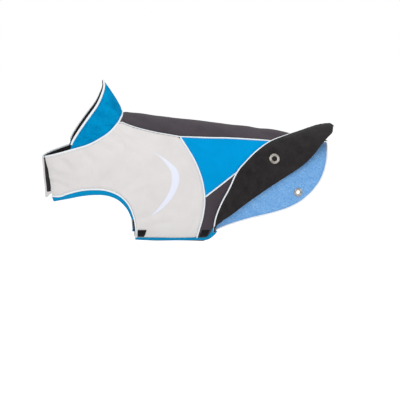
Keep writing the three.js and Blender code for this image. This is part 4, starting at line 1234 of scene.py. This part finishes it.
def hem_binding(far):
    high = joined(hem_left, hem_corner)
    reach = BINDING_REACH * smooth(np.arange(len(high)), len(hem_left), len(high) - 1)
    lower = np.stack([high[:, 0] - reach, high[:, 1] + BINDING_TURN], axis=-1)
    grid = strip(flipped(lower, far), flipped(high, far))
    thick = BINDING_TOP - BAND_TOP - GAP - 0.1
    cloth("hem_binding_" + side_of(far), grid, level(BINDING_TOP), thick,
          "binding_blue_fabric", seams=NO_SEAMS, seed=13, ripple=0.2, rows=[(HIGH, 1.8)])


def belly_band():
    near = seam(BAND_LINE, level(BAND_TOP))
    grid = strip(near, mirrored(near) + [0, 360])
    cloth("belly_band", grid, level(BAND_TOP), BAND, "charcoal_fabric", seams=(False, False, True, True),
          seed=14, ripple=0.4, rows=[(START, 4), (END, 4)])


def tape(name, grid, top, thick):
    cloth(name, grid, level(top), thick, "black_nap_fabric", seams=NO_SEAMS, ripple=0.1,
          finish=tape_hooks, rows=[(edge, 1.3) for edge in (LOW, HIGH, START, END)])


def tapes():
    hook_strip = strip(np.array(HOOK_STRIP_LOW), np.array(HOOK_STRIP_HIGH))
    tape("chest_hook_strip", hook_strip, GAP + HOOK, HOOK)
    for name, corners in (("front", FRONT_PATCH), ("rear", REAR_PATCH)):
        a, b, c, d = body.locate(corners, flat)
        tape("hook_patch_" + name, strip(line(a, b), line(d, c)), GAP + HOOK_PATCH, HOOK_PATCH)


# Piping


def tube(points, up, wide, high, sides=10):
    """A closed cord along points: its vertices and faces."""
    run = unit(np.gradient(points, axis=0))
    side = unit(np.cross(run, up))
    up = unit(np.cross(side, run))
    turn = 2 * np.pi * (np.arange(sides) + 0.5) / sides
    ring = points[:, None] + side[:, None] * (wide[:, None] * np.cos(turn))[..., None]
    ring = ring + up[:, None] * (high[:, None] * np.sin(turn))[..., None]
    n = len(points)
    faces = ring_faces(n, sides)
    faces.append(tuple(range(sides))[::-1])
    faces.append(tuple(range((n - 1) * sides, n * sides)))
    return ring.reshape(-1, 3), faces


def piping(name, path, height, form=body, early=0, late=0, half=PIPING_HALF):
    """A cord sewn into a seam. half is its half width, or a list of them from its start to its end."""
    places = spread(path, cells(path, form, 3), form, early, late)
    up = form.normal(places)
    points = form.point(places) + up * (height(places) if callable(height) else height)[..., None]
    points = points + up * (0.12 * rippled(points, 30, 5))[:, None]
    widths = np.interp(np.linspace(0, 1, len(points)), np.linspace(0, 1, np.size(half)), np.atleast_1d(half))
    verts, faces = tube(points, up, widths, np.minimum(widths, PIPING_HALF))
    dress(make_object("cord_" + name, verts, faces), "near_white_piping", "piping_" + name)


def pipings():
    flush = level(PIPING_SET)
    ring = np.vstack([neck_left, nape, neck_far[::-1], [[NAPE_RIB - 0.02, -180], [NAPE_RIB - 0.02, -196]]])
    piping("neck", ring, lambda place: PIPING_SET + chest_lift(place), half=1.8)
    piping("collar", collar_rim(), flush, early=2, late=2, half=COLLAR_EDGE_HALF)
    for far in (False, True):
        side = side_of(far)
        neck, rear = (neck_far, back_far) if far else (neck_left, back_left)
        back = joined(neck[-1], flipped(back_corner, far), rear)
        piping("back_" + side, back, flush, early=2, late=6, half=BACK_HALVES)
        piping("rear_" + side, flipped(joined(rear_upper, rear_lower), far), flush, early=2, late=1)
        piping("insert_" + side, flipped(joined(insert_low, insert_apex), far), flush, early=2, late=3)
        piping("arch_" + side, arch_far if far else arch_left, lifted(far, PIPING_SET), late=2)
    outer = level(FLAP_LINING_TOP)
    rim = np.vstack([seam(FLAP_EDGE, outer, wing), FLAP_RIDGE, wing.locate([FLAP_NOSE], outer)])
    piping("flap", rim, level(FLAP_PIPING_SET), wing)
    inner = np.vstack([inner_low, inner_back[1:], TAIL])
    inner = np.vstack([inner, mirrored(inner[:-1])[::-1]])
    piping("inner_skirt", inner, lambda place: inner_top(place) + INNER_PIPING_SET)
    skirt = np.vstack([TAIL, skirt_back[::-1], skirt_low[-2::-1], hem_corner[-1:]])
    piping("skirt_right", mirrored(skirt), flush, late=4)


# Eyelets


def eyelet(name, centre, up, hole, flange, through, node):
    """A rolled flange outside, a barrel and a thin washer inside, turned about the hole."""
    rolled = [
        (hole + (flange - hole) * (0.5 - 0.5 * math.cos(a)), 0.35 + 1.15 * math.sin(a))
        for a in np.linspace(0.15, 2.9, 14)
    ]
    profile = [
        (hole, -0.2), *rolled, (flange, 0.1), (flange - 0.5, 0.05), (hole + 0.8, 0.1),
        (hole + 0.8, -through - 0.2), (flange - 2, -through - 0.3), (flange - 2, -through - 0.9),
        (hole, -through - 0.9),
    ]
    side = unit(np.cross(up, [0.3, 0.2, 0.9]))
    front = np.cross(up, side)
    sides = 48
    verts = []
    for n in range(sides):
        turn = 2 * math.pi * n / sides
        way = side * math.cos(turn) + front * math.sin(turn)
        verts += [centre + way * r + up * h for r, h in profile]
    faces = ring_faces(sides, len(profile), looped=True)
    dress(make_object("metal_" + name, verts, faces), "eyelet_steel", node)


def eyelets():
    eyelet("flap", flap_hole, flap_up, *LARGE_EYELET, FLAP_LINING_TOP - FLAP_SHELL_TOP + SHELL, "eyelet_flap")
    eyelet("inner_left", inner_hole, inner_up, *SMALL_EYELET, INNER, "eyelet_inner_left")
    eyelet("skirt_right", far_hole, far_up, *SMALL_EYELET, SHELL, "eyelet_skirt_right")
    eyelet("inner_right", far_inner_hole, -far_up, *SMALL_EYELET, INNER, "eyelet_inner_right")


for is_far in (False, True):
    side_panel(is_far)
    side_insert(is_far)
    facing(is_far)
    hem_binding(is_far)
back_panel()
flank_panel()
skirt_panel()
inner_skirt()
collar()
flap()
belly_band()
tapes()
pipings()
eyelets()

# Stage: a pale floor under even light, and the camera.
FLOOR = -530
FLOOR_RADIUS = 14000
FLOOR_GLOW = 0.42
WORLD_LIGHT = 0.62


def seen_only(tree, socket, extra, base):
    """Sets a strength to base as a light, and to base and extra as the camera sees it."""
    rays = tree.nodes.new("ShaderNodeLightPath")
    strength = tree.nodes.new("ShaderNodeMath")
    strength.operation = "MULTIPLY_ADD"
    strength.inputs[1].default_value = extra
    strength.inputs[2].default_value = base
    tree.links.new(rays.outputs["Is Camera Ray"], strength.inputs[0])
    tree.links.new(strength.outputs[0], socket)


def floor():
    turns = np.linspace(0, 2 * math.pi, 96, endpoint=False)
    rim = [(FLOOR_RADIUS * math.cos(a), FLOOR_RADIUS * math.sin(a), FLOOR) for a in turns]
    disc = make_object("floor", rim, [tuple(range(len(rim)))])
    recipe = Recipe("floor paint", 0.95)
    recipe.shader.inputs["Emission Color"].default_value = (1, 1, 1, 1)
    seen_only(recipe.tree, recipe.shader.inputs["Emission Strength"], FLOOR_GLOW, 0)
    underside = recipe.node("ShaderNodeNewGeometry").outputs["Backfacing"]
    recipe.link(recipe.math("SUBTRACT", 1.0, underside), recipe.shader.inputs["Alpha"])
    disc.data.materials.append(recipe.finish(srgb(250, 250, 251)))


def studio_world():
    """White to look at, and softer as a light."""
    world = bpy.data.worlds.new("studio")
    world.use_nodes = True
    background = world.node_tree.nodes["Background"]
    background.inputs["Color"].default_value = (1, 1, 1, 1)
    seen_only(world.node_tree, background.inputs["Strength"], 1 - WORLD_LIGHT, WORLD_LIGHT)
    bpy.context.scene.world = world


def area_light(name, place, aim, size, power):
    light = bpy.data.lights.new(name, "AREA")
    light.shape = "DISK"
    light.size = size
    light.energy = power
    holder = bpy.data.objects.new(name, light)
    bpy.context.collection.objects.link(holder)
    point_at(holder, place, aim)


def point_at(holder, place, aim):
    place, aim = Vector(place), Vector(aim)
    holder.location = place
    holder.rotation_euler = (aim - place).to_track_quat("-Z", "Y").to_euler()


floor()
area_light("key", (-1.2, -2.6, 1.9), (0, 0, -0.15), 1.8, 32)
area_light("fill", (2.2, -1.8, 0.9), (0, 0, -0.15), 2.0, 11)
area_light("top", (0.2, 0.6, 2.6), (0, 0, -0.1), 2.2, 15)
studio_world()
bpy.context.scene.view_settings.view_transform = "Standard"

camera = bpy.data.cameras.new("camera")
camera.sensor_width = 36
camera.lens = 36 * VIEW_DISTANCE / VIEW_WIDTH
camera_holder = bpy.data.objects.new("camera", camera)
bpy.context.collection.objects.link(camera_holder)
point_at(camera_holder, tuple((VIEW_CENTRE - ahead * VIEW_DISTANCE) * MM), tuple(VIEW_CENTRE * MM))
bpy.context.scene.camera = camera_holder
